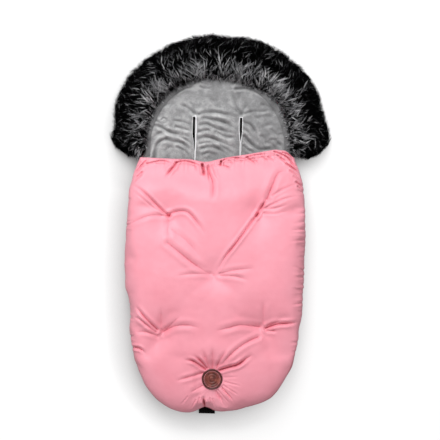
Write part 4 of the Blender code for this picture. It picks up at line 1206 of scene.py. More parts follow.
# Folds of the plush, in the form of the cover's
PLUSH_FOLDS = (
    (((194.5, 113.5), (190.0, 109.5), (184.5, 106.0), (177.5, 104.0)), 0.0050, 0.0044),
    (((195.0, 113.0), (192.5, 106.0), (189.0, 99.5)), 0.0030, 0.0051),
    (((241.3, 113.5), (237.0, 107.4), (234.0, 99.3), (232.5, 94.0)), 0.0055, 0.0044),
    (((242.0, 113.5), (244.0, 108.5), (247.5, 104.5)), 0.0036, 0.0046),
    (((240.5, 114.5), (235.0, 110.0), (229.0, 107.5)), 0.0034, 0.0041),
    (((198.8, 114.4), (205.7, 112.7), (216.0, 112.3), (226.3, 114.4), (237.0, 116.4)),
     0.0066, 0.0044),
    (((203.5, 117.6), (211.0, 119.4), (219.5, 121.0), (228.0, 124.4), (238.5, 130.6)),
     0.0074, 0.0046),
    (((200.0, 125.0), (207.0, 124.0), (214.0, 127.6), (224.0, 131.0), (236.0, 133.4)),
     0.0060, 0.0041),
    (((199.0, 131.8), (205.0, 130.4), (212.0, 129.6)), 0.0044, 0.0036),
    (((216.0, 131.6), (225.5, 136.4), (237.0, 137.6)), 0.0050, 0.0038),
    (((198.8, 138.8), (206.0, 137.2), (215.0, 139.4), (226.0, 144.0), (235.0, 147.6)),
     0.0068, 0.0046),
    (((200.0, 143.6), (208.0, 142.2), (214.0, 143.0)), 0.0036, 0.0036),
    (((202.0, 148.4), (210.5, 146.8), (220.0, 149.6), (226.0, 153.6)), 0.0058, 0.0046),
    (((221.0, 145.8), (228.0, 150.0), (233.0, 153.6)), 0.0034, 0.0036),
    (((203.0, 154.4), (209.0, 152.8), (215.0, 155.0)), 0.0034, 0.0038),
    (((149.7, 123.6), (155.0, 124.8), (161.5, 127.4), (169.5, 132.0), (179.0, 134.4),
      (190.5, 136.4)), 0.0074, 0.0044),
    (((152.0, 119.5), (158.0, 121.5), (166.0, 125.5), (173.0, 126.6)), 0.0028, 0.0036),
    (((174.0, 120.5), (182.0, 121.5), (191.0, 124.5)), 0.0034, 0.0033),
    (((176.0, 126.6), (184.0, 128.8), (191.5, 131.4)), 0.0036, 0.0031),
    (((161.0, 119.8), (163.5, 117.8), (166.5, 119.5), (165.5, 122.6), (162.0, 122.6)),
     0.0028, 0.0023),
    (((154.4, 157.5), (155.4, 148.5), (159.4, 142.0), (165.5, 139.0), (170.0, 138.6)),
     0.0092, 0.0044),
    (((149.6, 155.0), (151.4, 145.0), (156.0, 137.4)), 0.0040, 0.0038),
    (((166.5, 139.5), (173.0, 141.4), (180.0, 142.4), (186.5, 146.5), (191.0, 152.5)),
     0.0066, 0.0044),
    (((180.0, 136.5), (187.0, 140.4), (192.0, 144.5)), 0.0040, 0.0028),
    (((177.0, 147.0), (184.5, 150.4), (190.0, 157.0)), 0.0036, 0.0036),
    (((164.5, 150.5), (171.0, 147.0), (177.0, 148.6)), 0.0026, 0.0044),
    (((160.5, 132.5), (155.0, 135.5), (150.5, 142.5)), 0.0036, 0.0044),
    (((243.7, 122.0), (250.0, 124.4), (253.6, 129.6), (256.0, 139.5)), 0.0060, 0.0041),
    (((244.5, 129.0), (248.5, 132.5), (251.5, 138.0)), 0.0034, 0.0031),
    (((244.5, 136.4), (251.8, 144.4), (258.0, 149.0), (266.0, 149.6), (276.0, 148.4)),
     0.0070, 0.0044),
    (((243.8, 146.0), (250.0, 150.6), (257.0, 152.2)), 0.0046, 0.0033),
    (((245.3, 113.5), (254.0, 111.0), (264.0, 111.2), (270.0, 108.0)), 0.0036, 0.0036),
    (((236.0, 89.0), (247.0, 88.4), (257.0, 91.5), (266.0, 97.0), (273.0, 103.5)),
     0.0064, 0.0036),
    (((262.0, 104.5), (267.5, 105.5), (271.0, 110.0)), 0.0030, 0.0036),
    (((175.0, 92.5), (183.0, 88.6), (193.0, 86.6)), 0.0062, 0.0033),
    (((200.0, 86.5), (206.0, 88.5), (212.0, 87.5)), 0.0028, 0.0033),
    (((262.0, 136.0), (268.0, 140.0), (279.0, 139.0)), 0.0030, 0.0041),
    (((272.0, 130.0), (277.0, 134.0), (284.0, 134.0)), 0.0028, 0.0036),
    (((160.5, 108.5), (167.0, 104.0), (175.0, 104.5)), 0.0026, 0.0044),
    (((208.0, 97.0), (214.0, 100.5), (221.0, 99.5)), 0.0018, 0.0046),
    (((258.0, 118.0), (266.0, 115.6), (275.0, 118.0)), 0.0030, 0.0046),
    (((263.0, 127.0), (270.0, 124.4), (278.0, 126.0)), 0.0026, 0.0041),
    (((276.0, 141.0), (281.0, 145.5), (284.0, 152.0)), 0.0040, 0.0038),
    (((266.0, 142.0), (272.0, 144.0), (276.0, 150.0)), 0.0034, 0.0036),
)


# Finer faces for the part of a piece past a place along it
def refine(piece, low_y):
    build = bmesh.new()
    build.from_mesh(piece.data)
    edges = {edge for face in build.faces if face.calc_center_median().y > low_y
             and face.material_index == 0 for edge in face.edges}
    bmesh.ops.subdivide_edges(build, edges=list(edges), cuts=1, use_grid_fill=True)
    build.to_mesh(piece.data)
    build.free()
    piece.data.shade_smooth()


# Plush: section of its folds, step up which they are compared to see how they face the light,
# their share of height, and the waves of its swells
PLUSH_SECTION = (0.0, 0.0022, 0.26)
FACING_STEP = 0.0014
PLUSH_FOLD_SHARE = 0.72
PLUSH_SWELLS = ((24.0, 21.0, 0.0022), (75.0, 24.0, 0.0010))
PLUSH_CROWN = 0.0045


# Lift of the plush over its plain level, and the tone of its pile with painted shade: darker in
# its folds, painted highlight and shade on slopes as they face the light, and darker towards the
# right
def plush_height(points):
    x, y = points[:, 0], points[:, 1]
    seen = smooth_step((y - 0.12) / 0.04)
    moved = points + np.array((0.0, FACING_STEP))
    folds, above = (fold_depth(places, PLUSH_FOLDS, PLUSH_LEVEL, *PLUSH_SECTION)[0]
                    for places in (points, moved))
    facing = (above - folds) / FACING_STEP * seen
    folds *= PLUSH_FOLD_SHARE * seen
    slot = np.minimum(np.abs(np.abs(x) - SLOT_X) / 0.012, 1.0)
    crown_lift = PLUSH_CROWN * np.sin(np.clip(np.abs(x) / SLOT_X, 0, 1) * math.pi) * seen
    nap = noise_field(points, 110.0, 61.0) * seen
    pile_and_shade = 0.2 + 0.03 * nap + 0.035 * noise_field(points, 38.0, 63.0)
    # Painted shade in the folds, painted highlight on slopes facing the light at the head and
    # painted shade on those facing away; darker towards the right
    pile_and_shade -= folds / 0.0045 * np.where(folds > 0, 0.10, 0.18)
    pile_and_shade += np.clip(facing * 0.095, -0.11, 0.15) - 0.045 * np.clip(x / 0.12, -1.0, 1.0) - 0.01
    return swells(points, PLUSH_SWELLS) - folds + crown_lift * slot + 0.0004 * nap, pile_and_shade


# Height and rounding of the plush's rim, its inset, and the y past which it has finer faces
PLUSH_RIM = 0.0065
PLUSH_ROUND = 0.0055
PLUSH_ROUND_RUN = 0.02
PLUSH_INSET = 0.003
PLUSH_REACH = 0.21
PLUSH_FINE_Y = 0.125


def build_plush(look, slot_shadow_look):
    step = 0.0036
    outline, middle = pad_spokes(step)
    lengths, ways = spoke_ways(outline, middle)
    rings = int(round(PLUSH_REACH / step))
    rows = []
    for n in range(rings + 1):
        inset = PLUSH_INSET + (lengths - PLUSH_INSET) * n / rings
        rise = crown(np.minimum(inset / PLUSH_ROUND_RUN, 1.0))
        rows.append((inset, PAD_TOP - PLUSH_RIM + PLUSH_ROUND * rise))
    made = grid_piece("plush_liner", spoke_grid(outline, ways, rows)[0], look, closed=True)
    open_slots(made, slot_shadow_look)
    refine(made, PLUSH_FINE_Y)
    corners = corners_of(made.data)
    lift, pile_and_shade = plush_height(corners[:, :2].copy())
    level = np.clip((corners[:, 2] - (PAD_TOP - PLUSH_RIM)) / PLUSH_ROUND, 0.0, 1.0)
    corners[:, 2] += lift * level
    mark(made.data, "pile_and_shade", pile_and_shade)
    set_corners(made.data, corners)
    return made


# Rim of the back: inset and height of each row; rings of its bottom; and the seams across it:
# start, spacing, half width as a share of the spacing and height
BACK_STEP = 0.008
BACK_PROFILE = ((0.0045, PAD_TOP - 0.0060), (0.0015, PAD_TOP - 0.0068), (0.0002, 0.0145),
                (0.0, 0.0115), (0.0012, 0.0075), (0.0040, 0.0035), (0.0085, 0.0010))
BACK_RINGS = 26
BACK_SEAM = (0.04, 0.12, 0.04, 0.0016)


# Outer fabric of the back: bottom, rounded rim and a tuck under the plush edge
def build_back(look, slot_shadow_look):
    outline, middle = pad_spokes(BACK_STEP)
    lengths, ways = spoke_ways(outline, middle)
    rows = [(np.full(len(lengths), inset), np.full(len(lengths), z)) for inset, z in BACK_PROFILE]
    foot = BACK_PROFILE[-1][0]
    for n in range(1, BACK_RINGS + 1):
        inset = foot + (lengths - foot) * n / BACK_RINGS
        rows.append((inset, np.full(len(lengths), 0.0)))
    grid, inset = spoke_grid(outline, ways, rows)
    start, spacing, half, height = BACK_SEAM
    seam = np.abs(((grid[..., 1] + start) / spacing) % 1.0 - 0.5) / half
    grid[..., 2] += height * np.exp(-seam ** 2) * smooth_step((inset - 0.01) / 0.02)
    made = grid_piece("back_fabric", grid, look, closed=True)
    open_slots(made, slot_shadow_look)
    corners = corners_of(made.data)
    flat = corners[:, :2].copy()
    near = smooth_step(1 - outline_inset(flat) / 0.06) * smooth_step((0.150 - flat[:, 1]) / 0.03)
    corners[:, :2] += outline_shift(flat) * near[:, None]
    set_corners(made.data, corners)
    return made


# Path along the head edge: place, way out and share of the run
def head_path(count, start_y):
    rise = HEAD_Y - start_y
    total = 2 * rise + math.pi * HEAD_RADIUS
    path = []
    for n in range(count + 1):
        run = total * n / count
        if run < rise:
            path.append((Vector((HEAD_RADIUS, start_y + run)), Vector((1.0, 0.0)), run))
        elif run > total - rise:
            path.append((Vector((-HEAD_RADIUS, start_y + total - run)), Vector((-1.0, 0.0)),
                         total - run))
        else:
            angle = (run - rise) / HEAD_RADIUS
            way = Vector((math.cos(angle), math.sin(angle)))
            path.append((Vector((0.0, HEAD_Y)) + way * HEAD_RADIUS, way, min(run, total - run)))
    return path


# Fur: level of the pelt's top and of its outer foot, reach left to the strands past the
# pelt, gap to the seam, y that the pelt and the strands start at, and how its ends taper
FUR_TOP = 0.062
FUR_LOW = 0.004
FUR_CUFF = 0.0088
FUR_GAP = 0.003
PELT_START_Y = 0.196
STRAND_START_Y = 0.190
FUR_END = 0.45
FUR_END_RUN = 0.04
PELT_ROUNDING = 0.8
PELT_COLUMNS = 18
PELT_ROWS = 120
# Outer and inner edge of the fur round the head's centre: angle, reach from it; and its two ends:
# x, lowest y
FUR_EDGE = ((-12, 0.286), (-2, 0.294), (2, 0.308), (7, 0.3125), (15, 0.307), (22, 0.307),
            (30, 0.314), (38, 0.318), (49, 0.316), (58, 0.3170), (68, 0.317), (77, 0.311),
            (88, 0.308), (100, 0.311), (118, 0.310), (128, 0.311), (140, 0.313), (148, 0.312),
            (155, 0.307), (162, 0.300), (169, 0.288), (174, 0.291), (178, 0.294), (182, 0.284),
            (188, 0.266))
FUR_SEAM = ((-12, 0.1960), (3, 0.1955), (14, 0.1955), (25, 0.1990), (38, 0.2020), (50, 0.1950),
            (67, 0.1830), (81, 0.1810), (93, 0.1835), (102, 0.1850), (113, 0.1880),
            (124, 0.1920), (132, 0.1935), (141, 0.1960), (150, 0.1965), (163, 0.1945),
            (174, 0.1915), (192, 0.1930))
FUR_FOOT = ((-0.300, 0.240), (-0.292, 0.222), (-0.278, 0.198), (-0.250, 0.184), (-0.216, 0.168),
            (-0.190, 0.172), (0.190, 0.200), (0.218, 0.189), (0.246, 0.187), (0.279, 0.201),
            (0.303, 0.222), (0.310, 0.240))


# Reach of the pelt past the head's edge and in from it, along its way out
def fur_span(way_x, way_y):
    angle = np.degrees(np.arctan2(way_y, way_x))
    angle = np.where(angle < -90, angle + 360, angle)
    outer = table_at(FUR_EDGE, angle) - HEAD_RADIUS - FUR_CUFF
    inner = HEAD_RADIUS - table_at(FUR_SEAM, angle) - FUR_GAP
    return outer, inner


# Share of the fur's size that is left near its two ends
def end_share(along):
    return FUR_END + (1 - FUR_END) * crown(along / FUR_END_RUN)


# Section of the pelt: out and up for a turn from the inner foot over the top to the outer foot
def pelt_point(turn, swell, way):
    outer, inner = fur_span(way.x, way.y)
    out = float(outer) * swell
    deep = float(inner) * swell
    middle = (out - deep) / 2
    half = (out + deep) / 2
    low = FUR_LOW if turn > math.pi / 2 else PAD_TOP
    top = PAD_TOP + (FUR_TOP - PAD_TOP) * swell
    rise = max(math.sin(turn), 0.0) ** PELT_ROUNDING
    return middle - half * math.cos(turn), low + (top - low) * rise


# Hide that the strands stand on
def build_pelt(look):
    columns = PELT_COLUMNS
    path = head_path(PELT_ROWS, PELT_START_Y)
    points = []
    for place, way, along in path:
        swell = float(end_share(along))
        for n in range(columns):
            turn = math.pi * n / (columns - 1)
            out, z = pelt_point(turn, swell, way)
            points.append((place.x + way.x * out, place.y + way.y * out, z))
    faces = grid_faces(len(path), columns)
    for row in (0, len(path) - 1):
        faces.append(tuple(row * columns + n for n in range(columns)))
    for row in range(len(path) - 1):
        low, high = row * columns, (row + 1) * columns
        faces.append((low, high, high + columns - 1, low + columns - 1))
    pelt = new_object("fur_pelt", points, faces, look)
    weld(pelt)
    return pelt


# Strands: points along each, power of the taper and half width of the tip
STRAND_STEPS = 6
STRAND_TAPER = 1.8
STRAND_TIP = 0.00003


# Fur strands as tapered ribbons along three control points each
def strand_mesh(name, roots, middles, tips, widths, look):
    steps = STRAND_STEPS
    count = len(roots)
    share = np.linspace(0, 1, steps)[None, :, None]
    path = (roots[:, None, :] * (1 - share) ** 2 + middles[:, None, :] * 2 * share * (1 - share)
            + tips[:, None, :] * share ** 2)
    ways = tips - roots
    across = np.cross(ways, np.array((0.0, 0.0, 1.0))) + np.cross(ways, middles - roots) * 9
    across /= np.linalg.norm(across, axis=1)[:, None] + TINY
    half = widths[:, None] * 0.5 * (1 - share[0, :, 0][None, :] ** STRAND_TAPER) + STRAND_TIP
    left = path - across[:, None, :] * half[..., None]
    right = path + across[:, None, :] * half[..., None]
    points = np.stack([left, right], axis=2).reshape(-1, 3)
    base = np.arange(count)[:, None] * steps * 2 + np.arange(steps - 1)[None, :] * 2
    faces = np.stack([base, base + 1, base + 3, base + 2], axis=2).reshape(-1, 4)
    mesh = bpy.data.meshes.new(name)
    mesh.vertices.add(len(points))
    mesh.vertices.foreach_set("co", points.astype(np.float32).ravel())
    mesh.loops.add(faces.size)
    mesh.loops.foreach_set("vertex_index", faces.astype(np.int32).ravel())
    mesh.polygons.add(len(faces))
    mesh.polygons.foreach_set("loop_start", np.arange(0, faces.size, 4, dtype=np.int32))
    mesh.polygons.foreach_set("loop_total", np.full(len(faces), 4, dtype=np.int32))
    mesh.update(calc_edges=True)
    mesh.materials.append(look)
    mesh.shade_smooth()
    return linked(name, mesh)


# Shades of the strands: name, colour, brightest value of the strands in it, shine
FUR_SHADES = (
    ("fur_black", (2, 2, 2), 0.16, 0.0), ("fur_coal", (17, 17, 18), 0.30, 0.0),
    ("fur_slate", (58, 58, 60), 0.44, 0.1), ("fur_grey", (106, 106, 108), 0.58, 0.1),
    ("fur_silver", (156, 156, 158), 0.76, 0.15), ("fur_pale", (212, 212, 214), 9.0, 0.2),
)
# Lowest and highest level of the strands, steps of the run and their length, number of locks and
# of places from which bright locks fan out, and strands in a lock
FUR_FLOOR = 0.0015
FUR_CEILING = 0.0765
RUN_STEPS = 400
RUN_STEP = (2 * (HEAD_Y - STRAND_START_Y) + math.pi * HEAD_RADIUS) / RUN_STEPS
LOCKS = 12000
FANS = 110
LOCK_STRANDS = 9
# How far below the head's centre the outer edge is kept to
EDGE_DROP = 0.03
# Shares of the locks that fan out, that edge the seam and that lie back over it; steps that fans
# spread over; steps over which locks turn to the fur's ends, and how far; values of dark locks
FANNED_SHARE = 0.060
HALO_SHARE = 0.055
FRINGE_SHARE = 0.10
FAN_SPREAD = 1.2
END_STEPS = 16
END_SWAY = 1.3
DARK_VALUE = 0.16
# Strands: spread of a lock's roots, middles and tips, width of bright and dark locks, own sway of
# middles and tips, least share and range of length, unevenness of the rim with its two ends,
# share that is thinned out there, least width and its range
LOCK_SPREAD = (0.0017, 0.0016, 0.0018)
LOCK_WIDTHS = (0.36, 1.2)
OWN_SWAY = (0.0007, 0.0016)
OWN_LENGTH = (0.65, 0.50)
RAGGED = (0.0046, -0.012, 0.0085)
THINNED_SHARE = 0.62
STRAND_WIDTH = (0.00038, 0.00034)


# Points on the pelt for steps along the run and places across it, -1 at the seam and 1 at the
# rim, and half the pelt's width there
def pelt_places(spot, across):
    path = head_path(RUN_STEPS, STRAND_START_Y)
    rows = np.array([(*place, *way, along) for place, way, along in path])
    held = np.clip(spot, 0, RUN_STEPS - 0.001)
    low = held.astype(int)
    row = rows[low] + (rows[low + 1] - rows[low]) * (held - low)[:, None]
    way = row[:, 2:4] / np.linalg.norm(row[:, 2:4], axis=1)[:, None]
    tangent = np.stack([-way[:, 1], way[:, 0]], axis=1)
    swell = end_share(row[:, 4])
    outer, inner = fur_span(way[:, 0], way[:, 1])
    outward = ((outer - inner) + (outer + inner) * across) * swell / 2
    low_z = np.where(across > 0, FUR_LOW, PAD_TOP)
    top_z = PAD_TOP + (FUR_TOP - PAD_TOP) * swell
    z = low_z + (top_z - low_z) * np.maximum(1 - across ** 2, 0.0) ** (PELT_ROUNDING / 2)
    flat = (row[:, :2] + way * outward[:, None]
            + tangent * ((spot - held) * RUN_STEP)[:, None])
    return np.concatenate([flat, z[:, None]], axis=1), (outer + inner) * swell / 2


# Keeps points of the strands within the fur's edges, ends and height, and tells which were past
# the outer edge
def trim_fur(points, ragged):
    x, y = points[:, 0], points[:, 1]
    up = np.maximum(y - HEAD_Y, -EDGE_DROP)
    radius = np.hypot(x, up)
    limit = table_at(FUR_EDGE, np.degrees(np.arctan2(up, x))) + ragged
    held = np.where(radius > limit, limit / radius, 1.0)
    points[:, 0] = x * held
    points[:, 1] = np.where(y > HEAD_Y - EDGE_DROP, HEAD_Y + up * held, y)
    points[:, 1] = np.maximum(points[:, 1], table_at(FUR_FOOT, points[:, 0]) + ragged)
    points[:, 2] = np.clip(points[:, 2], FUR_FLOOR, FUR_CEILING)
    return radius > limit


# Locks of the fur: place on the pelt, way they lie, length, shade and thickness
def lay_locks(rng, locks):
    spot = rng.random(locks) * RUN_STEPS
    across = 1 - 2 * rng.random(locks) ** 1.05
    fan_spot = rng.random(FANS) * RUN_STEPS
    fan_sway = rng.normal(0, 0.40, FANS)
    fan_tone = 0.20 + 0.80 * rng.random(FANS) ** 1.5
    fan = rng.integers(0, FANS, locks)
    fanned = rng.random(locks) < FANNED_SHARE
    halo = rng.random(locks) < HALO_SHARE
    offset = rng.normal(0, FAN_SPREAD, locks)
    spot = np.where(fanned, np.clip(fan_spot[fan] + offset, 0, RUN_STEPS), spot)
    across = np.where(fanned, -1.06 + 0.60 * rng.random(locks) ** 1.4, across)
    across = np.where(halo, -1.08 + 0.24 * rng.random(locks), across)
    broad, small, patch = (
        noise_field(np.stack([spot * along, across * wide], axis=1), 1.0, seed)
        for along, wide, seed in ((0.055, 1.6, 31.0), (0.19, 3.0, 37.0), (0.10, 2.0, 43.0)))
    inner = np.clip((0.25 - across) / 1.25, 0, 1)
    lean = 0.80 + small * 0.7
    fringe = (rng.random(locks) < FRINGE_SHARE) & (across < -0.90)
    lean = np.where(fringe, -0.8, lean)
    lean = np.where(halo & (rng.random(locks) < 0.45), -0.7, lean)
    sway = broad * 1.5 + small * 0.7 + rng.normal(0, 0.24, locks)
    sway = np.where(fanned, fan_sway[fan] + offset * 0.20 + rng.normal(0, 0.12, locks), sway)
    ends = np.clip((END_STEPS - np.minimum(spot, RUN_STEPS - spot)) / END_STEPS, 0, 1)
    sway += np.where(spot < RUN_STEPS / 2, -END_SWAY, END_SWAY) * ends
    length = np.where(fanned, 0.016 + 0.026 * rng.random(locks), 0.012 + 0.014 * rng.random(locks))
    length = np.where(halo, 0.004 + 0.008 * rng.random(locks), length)
    length = np.where(fringe, 0.006, length)
    chance = np.where(fanned, 0.95, 0.11 + 0.07 * inner + 0.16 * patch)
    bright = (rng.random(locks) < chance) | halo
    light = np.where(fanned, 0.40 + 0.60 * fan_tone[fan] * (0.40 + 0.60 * rng.random(locks)),
                     0.20 + (0.18 + 0.42 * inner) * rng.random(locks)
                     + 0.36 * rng.random(locks) ** 5)
    light = np.where(halo, 0.34 + 0.44 * rng.random(locks), light)
    value = np.where(bright, light, DARK_VALUE * rng.random(locks) + 0.02 * inner)
    return spot, across, lean, sway, length, value, bright


# Strands of the fur, one piece for each shade
def build_fur():
    rng = np.random.default_rng(7)
    locks = LOCKS
    spot, across, lean, sway, length, value, bright = lay_locks(rng, locks)
    reach = np.hypot(lean, sway)
    lean, sway = lean / reach, sway / reach
    roots, half = pelt_places(spot, across)
    end_spot = spot + sway * length / RUN_STEP
    end_across = across + lean * length / half
    tips, _ = pelt_places(end_spot, end_across)
    bow = rng.normal(0, 0.11, locks) * length / RUN_STEP
    middles, _ = pelt_places((spot + end_spot) / 2 + bow, (across + end_across) / 2)
    roots[:, 2] -= 0.0010
    middles[:, 2] += 0.0030 + 0.13 * length + 0.0025 * rng.random(locks)
    tips[:, 2] += 0.0010 + 0.0080 * rng.random(locks) ** 2
    pick = np.repeat(np.arange(locks), LOCK_STRANDS)
    count = len(pick)
    spread = rng.normal(0, 1, (count, 3))
    spread[:, 2] *= 0.35
    width = np.where(bright, *LOCK_WIDTHS)[pick][:, None]
    own_roots, own_middles, own_tips = (
        places[pick] + spread * wide * width
        for places, wide in zip((roots, middles, tips), LOCK_SPREAD))
    own_middles += rng.normal(0, OWN_SWAY[0], (count, 3))
    own_tips += rng.normal(0, OWN_SWAY[1], (count, 3)) * width
    stretch = (OWN_LENGTH[0] + OWN_LENGTH[1] * rng.random(count))[:, None]
    own_tips = own_roots + (own_tips - own_roots) * stretch
    own_middles = own_roots + (own_middles - own_roots) * stretch
    ragged = np.clip(rng.normal(0.0, RAGGED[0], count), *RAGGED[1:])
    trim_fur(own_middles, ragged)
    thinned = trim_fur(own_tips, ragged) & (rng.random(count) < THINNED_SHARE)
    over = np.hypot(own_tips[:, 0], np.maximum(own_tips[:, 1] - HEAD_Y, 0)) < HEAD_RADIUS - 0.004
    for places, gap in ((own_tips, 0.0015), (own_middles, 0.004)):
        places[:, 2] = np.where(over, np.maximum(places[:, 2], PAD_TOP + gap), places[:, 2])
    at_rim = across[pick] > 0.72
    # Strands at the ragged rim are a step lighter: painted light passing through the thin edge of
    # the fur
    shade = value[pick] + rng.normal(0, 0.06, count) + 0.10 * (at_rim & (ragged > 0.003))
    widths = STRAND_WIDTH[0] + STRAND_WIDTH[1] * rng.random(count)
    lifted = smooth_step((shade - 0.25) / 0.2)
    own_middles[:, 2] += 0.0030 * lifted
    own_tips[:, 2] += 0.0016 * lifted
    pieces = []
    low = -9.0
    for name, colour, high, shine in FUR_SHADES:
        chosen = np.flatnonzero((shade >= low) & (shade < high) & ~thinned)
        low = high
        look = plain_look(name, linear(*colour), 0.7, shine)
        pieces.append(strand_mesh(name + "_strands", own_roots[chosen], own_middles[chosen],
                                  own_tips[chosen], widths[chosen], look))
    return pieces


def pelt_look():
    look = Look("fur_pelt_hide", 0.9)
    tone = look.noise(240.0, 4.0, 0.7)
    look.use("Base Color", look.ramp(tone, (
        (0.35, linear(4, 4, 5)), (0.6, linear(10, 10, 11)), (0.8, linear(22, 22, 24)))))
    look.use("Normal", look.bump(tone, 0.0015, 0.8))
    return look.material


# Distance at which corners of small pieces are merged
FINE_WELD = 0.00001


# Round tube through a row of points
def tube(name, points, radius, look, sides=8, closed=False):
    count = len(points)
    rings = []
    for n, point in enumerate(points):
        before = points[(n - 1) % count if closed else max(n - 1, 0)]
        after = points[(n + 1) % count if closed else min(n + 1, count - 1)]
        way = (after - before).normalized()
        side = way.cross(Vector((0, 0, 1)))
        side = side.normalized() if side.length > 0.001 else Vector((1, 0, 0))
        up = side.cross(way)
        size = radius[n] if isinstance(radius, list) else radius
        for turn in range(sides + 1):
            angle = 2 * math.pi * turn / sides
            rings.append(point + side * size * math.cos(angle) + up * size * math.sin(angle))
    faces = grid_faces(count, sides + 1, closed)
    if not closed:
        faces.append(tuple(range(sides)))
        faces.append(tuple((count - 1) * (sides + 1) + n for n in range(sides)))
    made = new_object(name, rings, faces, look)
    weld(made, FINE_WELD)
    return made


# One piece made of several
def joined(name, pieces):
    build = bmesh.new()
    for piece in pieces:
        build.from_mesh(piece.data)
    mesh = bpy.data.meshes.new(name)
    build.to_mesh(mesh)
    build.free()
    mesh.materials.append(pieces[0].data.materials[0])
    mesh.shade_smooth()
    for piece in pieces:
        bpy.data.objects.remove(piece)
    return linked(name, mesh)


# Height of a piece's surface under a point, from above
def surface_z(piece, x, y, fallback):
    hit, place, _, _ = piece.ray_cast(Vector((x, y, 1.0)), Vector((0, 0, -1)))
    return place.z if hit else fallback


# Piping: how far it goes past a slot's ends, its points on a side, and radius at the crotch slot
PIPING_PAST = 0.0015
PIPING_STEPS = 110
CROTCH_STEPS = 20
CROTCH_RADIUS = 0.0013


# Piping round a harness slot: fuller on the side that shows in the photograph
def build_piping(side, plush, look):
    foot, top = SLOT_FOOT_Y - PIPING_PAST, SLOT_TOP_Y + PIPING_PAST
    rows = [foot + (top - foot) * n / PIPING_STEPS for n in range(PIPING_STEPS + 1)]
    sizes = PIPING_SIZES[side]
    points, radii = [], []
    for way, run in ((1, rows), (-1, rows[::-1])):
        for y in run:
            reach = slot_half(side, y) + sizes[way] * 0.75
            sway = 0.0010 * noise.noise(Vector((way * 3.0 + side, y * 30, 3.0)))
            middle = side * SLOT_X + slot_shift(side, y)
            points.append(Vector((middle + way * reach + sway, y, 0.0)))
            radii.append(sizes[way] * (1 + 0.12 * noise.noise(Vector((way, y * 60, side)))))
    for point, radius in zip(points, radii):
        outward = math.copysign(0.0015, point.x - side * SLOT_X)
        point.z = surface_z(plush, point.x + outward, point.y, PAD_TOP) + radius * 0.5
    word = "left" if side < 0 else "right"
    return tube("slot_piping_" + word, points, radii, look, closed=True)


def build_crotch_piping(look):
    half = SLOT_GAP / 2 + 0.0012
    z = PAD_TOP + 0.0008
    length = CROTCH_TOP_Y - CROTCH_FOOT_Y
    shares = [n / CROTCH_STEPS for n in range(CROTCH_STEPS)]
    points = [Vector((half, CROTCH_FOOT_Y + length * share, z)) for share in shares]
    points += [Vector((-half, CROTCH_TOP_Y - length * share, z)) for share in shares]
    return tube("crotch_piping", points, CROTCH_RADIUS, look, closed=True)


# Small blocks set along a line, as one mesh: centre, way along it and sizes
def block_row(name, places, along, across, tall, look):
    points, faces = [], []
    corners = [(-1, -1, -1), (1, -1, -1), (1, 1, -1), (-1, 1, -1),
               (-1, -1, 1), (1, -1, 1), (1, 1, 1), (-1, 1, 1)]
    sides = [(0, 3, 2, 1), (4, 5, 6, 7), (0, 1, 5, 4), (1, 2, 6, 5), (2, 3, 7, 6), (3, 0, 4, 7)]
    for centre, way in places:
        side = Vector((-way.y, way.x, 0))
        base = len(points)
        for a, b, c in corners:
            points.append(centre + way * (a * along / 2) + side * (b * across / 2)
                          + Vector((0, 0, c * tall / 2)))
        faces += [tuple(base + n for n in face) for face in sides]
    return new_object(name, points, faces, look, smooth=False)


# Zip teeth: pitch, sizes, levels of the two rows, y they end at, gap at the fold line, and the
# spacing of the line they follow and where it starts
TOOTH_PITCH = 0.0028
TOOTH = (0.0012, 0.0030, 0.0024)
TEETH_LOW_Z = 0.0338
TEETH_HIGH_Z = 0.0356
TEETH_TOP_Y = 0.146
TEETH_FOLD_GAP = 0.002
ZIP_STEP = 0.002
ZIP_TOP_Y = 0.148


# Centre and way of each tooth between two y on a side, or on both sides for 0
def zip_places(low_y, high_y, side, shift):
    edges, centres, pads = cover_spokes(ZIP_STEP, ZIP_TOP_Y)
    _, ways = spoke_ways(edges, centres)
    line = edges + ways * (pads + ZIP_INSET)[:, None]
    steps = np.linalg.norm(np.diff(line, axis=0), axis=1)
    run = np.concatenate([[0], np.cumsum(steps)])
    places = []
    for start in np.arange(TOOTH_PITCH + shift, run[-1] - TOOTH_PITCH, TOOTH_PITCH):
        (x, y), (next_x, next_y) = (
            [np.interp(at, run, line[:, n]) for n in (0, 1)] for at in (start, start + 0.001))
        if low_y < y < high_y and (side == 0 or x * side > 0):
            way = Vector((next_x - x, next_y - y, 0)).normalized()
            places.append((Vector((x, y, 0)), way))
    return places


def build_teeth(look):
    made = {}
    half, fold = TOOTH_PITCH / 2, TEETH_FOLD_GAP
    rows = (("back", "back", -1.0, TEETH_TOP_Y, 0, 0.0, TEETH_LOW_Z),
            ("foot", "back", -1.0, FOLD_Y - fold, 0, half, TEETH_HIGH_Z),
            ("flap_left", "flap", FOLD_Y + fold, TEETH_TOP_Y, -1, half, TEETH_HIGH_Z),
            ("flap_right", "flap", FOLD_Y + fold, TEETH_TOP_Y, 1, half, TEETH_HIGH_Z))
    for word, body, low, high, side, shift, z in rows:
        places = [(centre + Vector((0, 0, z)), way)
                  for centre, way in zip_places(low, high, side, shift)]
        made[word] = (block_row("zip_teeth_" + word, places, *TOOTH, look), body)
    return made


